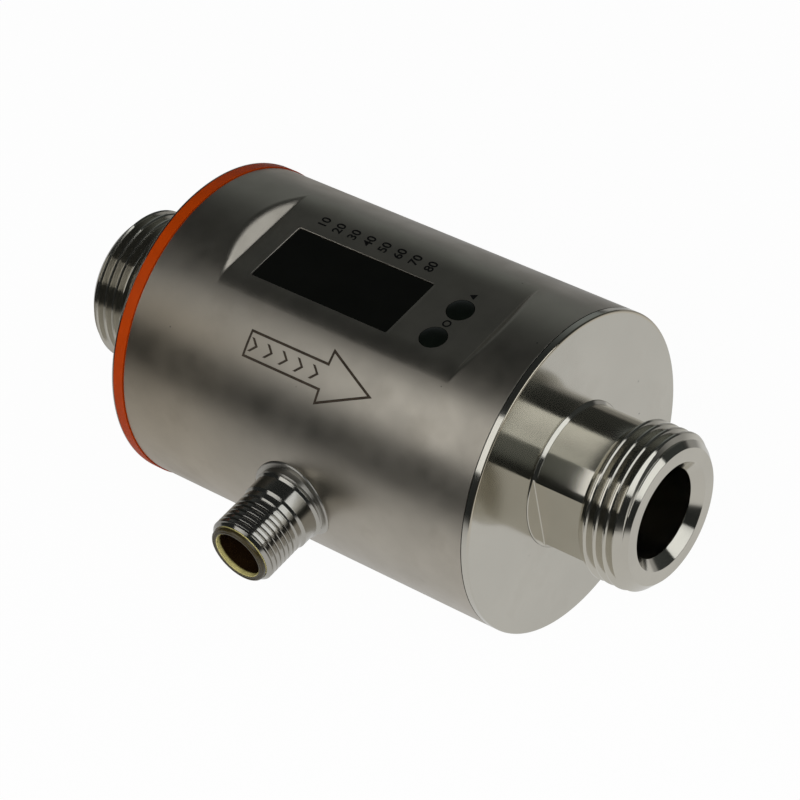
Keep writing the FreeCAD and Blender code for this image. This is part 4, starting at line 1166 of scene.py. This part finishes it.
class FLOWMETER_OT_marks(Operator):
    """Etched flow arrow on the tube, plain figures and signs in the recess"""
    bl_idname = "flowmeter.marks"
    bl_label = "Marks"

    def execute(self, context):
        settings = context.scene.flow_meter
        arrow = self.arrow(settings.mark, settings.housing.radius)
        figures = self.figures(settings.mark, settings.housing.recess_floor)
        show("flow_arrow", mesh_of(arrow), "housing_steel", settings, finish="etched_mark")
        show("recess_figures", mesh_of(figures), "housing_steel", settings, finish="printed_mark")
        return {"FINISHED"}

    def arrow(self, mark, radius):
        """Arrow with small chevrons in its shaft, wrapped round the tube."""
        tail, neck, tip = mark.arrow_tail, mark.arrow_neck, mark.arrow_tip
        half, head = mark.arrow_half, mark.head_half
        bm = bmesh.new()
        outline = plot(bm, [
            (tail, -half), (neck, -half), (neck, -head), (tip, 0), (neck, head), (neck, half), (tail, half)])
        hollow(bm, outline, mark.line)
        reach, width, nose_place, bends = half / 2, 1.3 * mark.line, 0.75, 24
        step = (neck - tail) / max(mark.chevrons, 1)
        for count in range(mark.chevrons):
            nose = tail + (count + nose_place) * step
            plot(bm, [(nose - width, 0), (nose - reach - width, -reach), (nose - reach, -reach), (nose, 0),
                      (nose - reach, reach), (nose - reach - width, reach)])
        for place in spread(-head, (head, bends)):
            bmesh.ops.bisect_plane(bm, geom=all_of(bm), plane_co=(0, place, 0), plane_no=(0, 1, 0))
        thicken(bm, mark.depth)
        for vert in bm.verts:
            angle = mark.arrow_angle - vert.co.y / radius
            out = radius + vert.co.z
            vert.co = (vert.co.x, -out * math.sin(angle), out * math.cos(angle))
        bmesh.ops.recalc_face_normals(bm, faces=bm.faces[:])
        return bm

    def figures(self, mark, floor):
        """Row of figures beside the window, a triangle and a ring beside the buttons."""
        upright = Matrix.Rotation(TURN / 4, 4, "Z")
        triangle, ring, thin_line = 3, 32, mark.line / 1.5
        bm = bmesh.new()
        for name, corners, line in (("mode_button", triangle, 0), ("set_button", ring, thin_line)):
            low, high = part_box(name)
            spot = Matrix.Translation(((low.x + high.x) / 2, high.y + mark.sign_gap, 0)) @ upright
            made = bmesh.ops.create_circle(bm, cap_ends=True, segments=corners, radius=mark.sign, matrix=spot)
            if line:
                disc = made["verts"][0].link_faces[0]
                disc.normal_update()
                hollow(bm, disc, line)
        thicken(bm, mark.depth)
        first = mark.figure_middle - (mark.figures - 1) / 2 * mark.figure_pitch
        for count in range(mark.figures):
            figure = figure_mesh(str(10 * (count + 1)), mark.figure_height, mark.depth)
            place = (first + count * mark.figure_pitch, PANE_HIGH.y + mark.figure_gap, 0)
            figure.transform(Matrix.Translation(place) @ upright)
            bm.from_mesh(figure)
            bpy.data.meshes.remove(figure)
        return moved(bm, Matrix.Translation((0, 0, floor)))


class FLOWMETER_OT_inner_pieces(Operator):
    """Finishes of the CAD pieces inside the housing"""
    bl_idname = "flowmeter.inner_pieces"
    bl_label = "Inner pieces"

    def execute(self, context):
        settings = context.scene.flow_meter
        slots = {part["node"]: part["material_slot"] for part in frame["record"]["subparts"]}
        for name, item in frame["nodes"].items():
            item.data.materials.clear()
            item.data.materials.append(finish_of(slots[name], settings))
        return {"FINISHED"}


class FLOWMETER_OT_stage(Operator):
    """Floor, dark room, softboxes and camera"""
    bl_idname = "flowmeter.stage"
    bl_label = "Stage"

    def execute(self, context):
        stage = context.scene.flow_meter.stage
        context.scene.view_settings.view_transform = "Standard"
        make_floor(stage)
        make_room(stage)
        make_world(context.scene)
        softbox("key_softbox", stage.key)
        softbox("side_softbox", stage.side).data.color = stage.side_tint
        softbox("fill_softbox", stage.fill).visible_glossy = False
        make_camera(context.scene, stage)
        return {"FINISHED"}


def ray_kinds(tree):
    """Two values: 1 for camera rays, 1 for mirror and glass rays; rays that carry light have 0 in both."""
    path = put(tree, "ShaderNodeLightPath").outputs
    mirror = math_node(tree, "MAXIMUM", path["Is Glossy Ray"], path["Is Transmission Ray"])
    return path["Is Camera Ray"], mirror


def stage_mesh(name, bm, material):
    """Piece of the studio, not of the meter."""
    mesh = mesh_of(bm, name)
    item = new_object(name, mesh)
    mesh.materials.append(material)
    mesh.shade_smooth()
    return item


def make_floor(stage):
    """Floor that shows white, keeps a faint shadow, and in mirrors fades away from its pool of light."""
    size, level = 1.5, Matrix.Translation((0, 0, stage.floor))
    grey, pale = (0.86, 0.86, 0.86), (0.9, 0.9, 0.9)
    bright_reach, faded_share = 0.25, 0.15
    far_side, inlet_side = (0.06, 0.11), (-0.12, 0.02)
    bm = bmesh.new()
    bmesh.ops.create_grid(bm, x_segments=8, y_segments=8, size=size, matrix=level)
    material, tree, coords = new_finish("white floor")
    paper = put(tree, "ShaderNodeBsdfDiffuse", Color=blend(tree, mottled(tree, coords, scale=6), grey, pale))
    camera, mirror = ray_kinds(tree)
    along, across, _ = split(tree, coords)
    distance = vector_node(tree, "LENGTH", coords)
    faded = ranged(tree, distance, bright_reach, stage.pool_reach, 1.0, faded_share)
    front = ranged(tree, across, *far_side, stage.pool, stage.pool / 2, smooth=True)
    lit = ranged(tree, along, *inlet_side, stage.pool_rear, front, smooth=True)
    strength = math_node(tree, "ADD", camera, product(tree, mirror, product(tree, lit, faded)))
    glow = put(tree, "ShaderNodeEmission", Strength=strength)
    white = product(tree, math_node(tree, "MAXIMUM", camera, mirror), stage.glow)
    mixed = put(tree, "ShaderNodeMixShader", in0=white, in1=paper.outputs[0], in2=glow.outputs[0])
    put(tree, "ShaderNodeOutputMaterial", Surface=mixed.outputs[0])
    stage_mesh("floor", bm, material)


def make_room(stage):
    """Dark room round the table, a little lighter low down behind the meter and behind the camera."""
    reach, tint, behind_camera = 1.45, (0.92, 1, 1, 1), Vector((0.51, -0.43, 0.74)).normalized()
    far_side, height, rear_part, front_share = (0.2, 0.85), (0.25, 0.85), (-0.35, 0.3), 0.12
    round_camera = (0.88, 0.99)
    bm = bmesh.new()
    bmesh.ops.create_uvsphere(bm, u_segments=48, v_segments=24, radius=reach)
    bmesh.ops.bisect_plane(bm, geom=all_of(bm), plane_co=(0, 0, stage.floor), plane_no=(0, 0, 1),
                           clear_inner=True)
    material, tree, coords = new_finish("dark room")
    spot = vector_node(tree, "NORMALIZE", coords)
    along, across, up = split(tree, spot)
    far = ranged(tree, across, *far_side, smooth=True)
    low = ranged(tree, up, *height, 1.0, 0.0, smooth=True)
    rear = ranged(tree, along, *rear_part, 1.0, front_share, smooth=True)
    wall = product(tree, far, low, rear, stage.far_wall)
    facing = vector_node(tree, "DOT_PRODUCT", spot, behind_camera)
    near = ranged(tree, facing, *round_camera, 0.0, stage.near_wall, smooth=True)
    strength = math_node(tree, "ADD", math_node(tree, "ADD", wall, near), stage.room)
    glow = put(tree, "ShaderNodeEmission", Color=tint, Strength=strength)
    put(tree, "ShaderNodeOutputMaterial", Surface=glow.outputs[0])
    room = stage_mesh("dark_room", bm, material)
    room.visible_camera = False
    room.visible_shadow = False


def make_world(scene):
    """White beyond the studio for camera, mirrors and glass, dark for light."""
    world = bpy.data.worlds.new("white surround")
    scene.world = world
    world.use_nodes = True
    tree = world.node_tree
    tree.nodes.clear()
    strength = math_node(tree, "MAXIMUM", *ray_kinds(tree))
    sky = put(tree, "ShaderNodeBackground", Color=(1, 1, 1, 1), Strength=strength)
    put(tree, "ShaderNodeOutputWorld", Surface=sky.outputs[0])


def softbox(name, power):
    """Rectangular area lamp from the table of lamps, facing its target."""
    place, target = Vector(LAMPS[name]["place"]), Vector(LAMPS[name]["target"])
    lamp = bpy.data.lights.new(name, "AREA")
    lamp.shape, lamp.energy = "RECTANGLE", power
    lamp.size, lamp.size_y = LAMPS[name]["size"]
    item = new_object(name, lamp)
    item.location = place
    item.rotation_euler = (target - place).to_track_quat("-Z", "Y").to_euler()
    item.visible_camera = False
    return item


def make_camera(scene, stage):
    """Camera at the photograph's angle."""
    turn, lift, roll = stage.azimuth, stage.elevation, stage.roll
    back = Vector((math.sin(turn) * math.cos(lift), -math.cos(turn) * math.cos(lift), math.sin(lift)))
    level = Vector((math.cos(turn), math.sin(turn), 0))
    upright = back.cross(level)
    right = level * math.cos(roll) - upright * math.sin(roll)
    axes = Matrix((right, back.cross(right), back)).transposed()
    lens = bpy.data.cameras.new("camera")
    lens.lens, lens.sensor_width = stage.lens, 36
    lens.clip_start, lens.clip_end = 0.01, 20
    item = new_object("camera", lens)
    item.matrix_world = Matrix.Translation(Vector(stage.target) + back * stage.distance) @ axes.to_4x4()
    scene.camera = item


class FLOWMETER_PT_panel(Panel):
    """Sidebar list of the meter's pieces"""
    bl_idname = "FLOWMETER_PT_panel"
    bl_label = "Flow Meter"
    bl_space_type = "VIEW_3D"
    bl_region_type = "UI"
    bl_category = "Flow Meter"

    def draw(self, context):
        for operator in OPERATORS:
            self.layout.operator(operator.bl_idname)
        settings = context.scene.flow_meter
        for part in settings.bl_rna.properties:
            if part.type != "POINTER" or part.identifier == "rna_type":
                continue
            box = self.layout.box()
            box.label(text=part.identifier.capitalize())
            group = getattr(settings, part.identifier)
            for entry in group.bl_rna.properties:
                if entry.identifier not in ("rna_type", "name"):
                    box.prop(group, entry.identifier)


SETTINGS = (HousingSettings, FittingSettings, PlugSettings, MarkSettings, FinishSettings, StageSettings,
            FlowMeterSettings)
OPERATORS = (
    FLOWMETER_OT_inner_pieces, FLOWMETER_OT_housing, FLOWMETER_OT_end_plates, FLOWMETER_OT_ring,
    FLOWMETER_OT_fittings, FLOWMETER_OT_plug_shell, FLOWMETER_OT_plug_carrier, FLOWMETER_OT_contacts,
    FLOWMETER_OT_window, FLOWMETER_OT_buttons, FLOWMETER_OT_marks, FLOWMETER_OT_stage)


def register():
    for item in (*SETTINGS, *OPERATORS, FLOWMETER_PT_panel):
        bpy.utils.register_class(item)
    bpy.types.Scene.flow_meter = PointerProperty(type=FlowMeterSettings)


def unregister():
    del bpy.types.Scene.flow_meter
    for item in reversed((*SETTINGS, *OPERATORS, FLOWMETER_PT_panel)):
        bpy.utils.unregister_class(item)


def main():
    register()
    for operator in OPERATORS:
        group, name = operator.bl_idname.split(".")
        getattr(getattr(bpy.ops, group), name)()


if __name__ == "__main__":
    main()
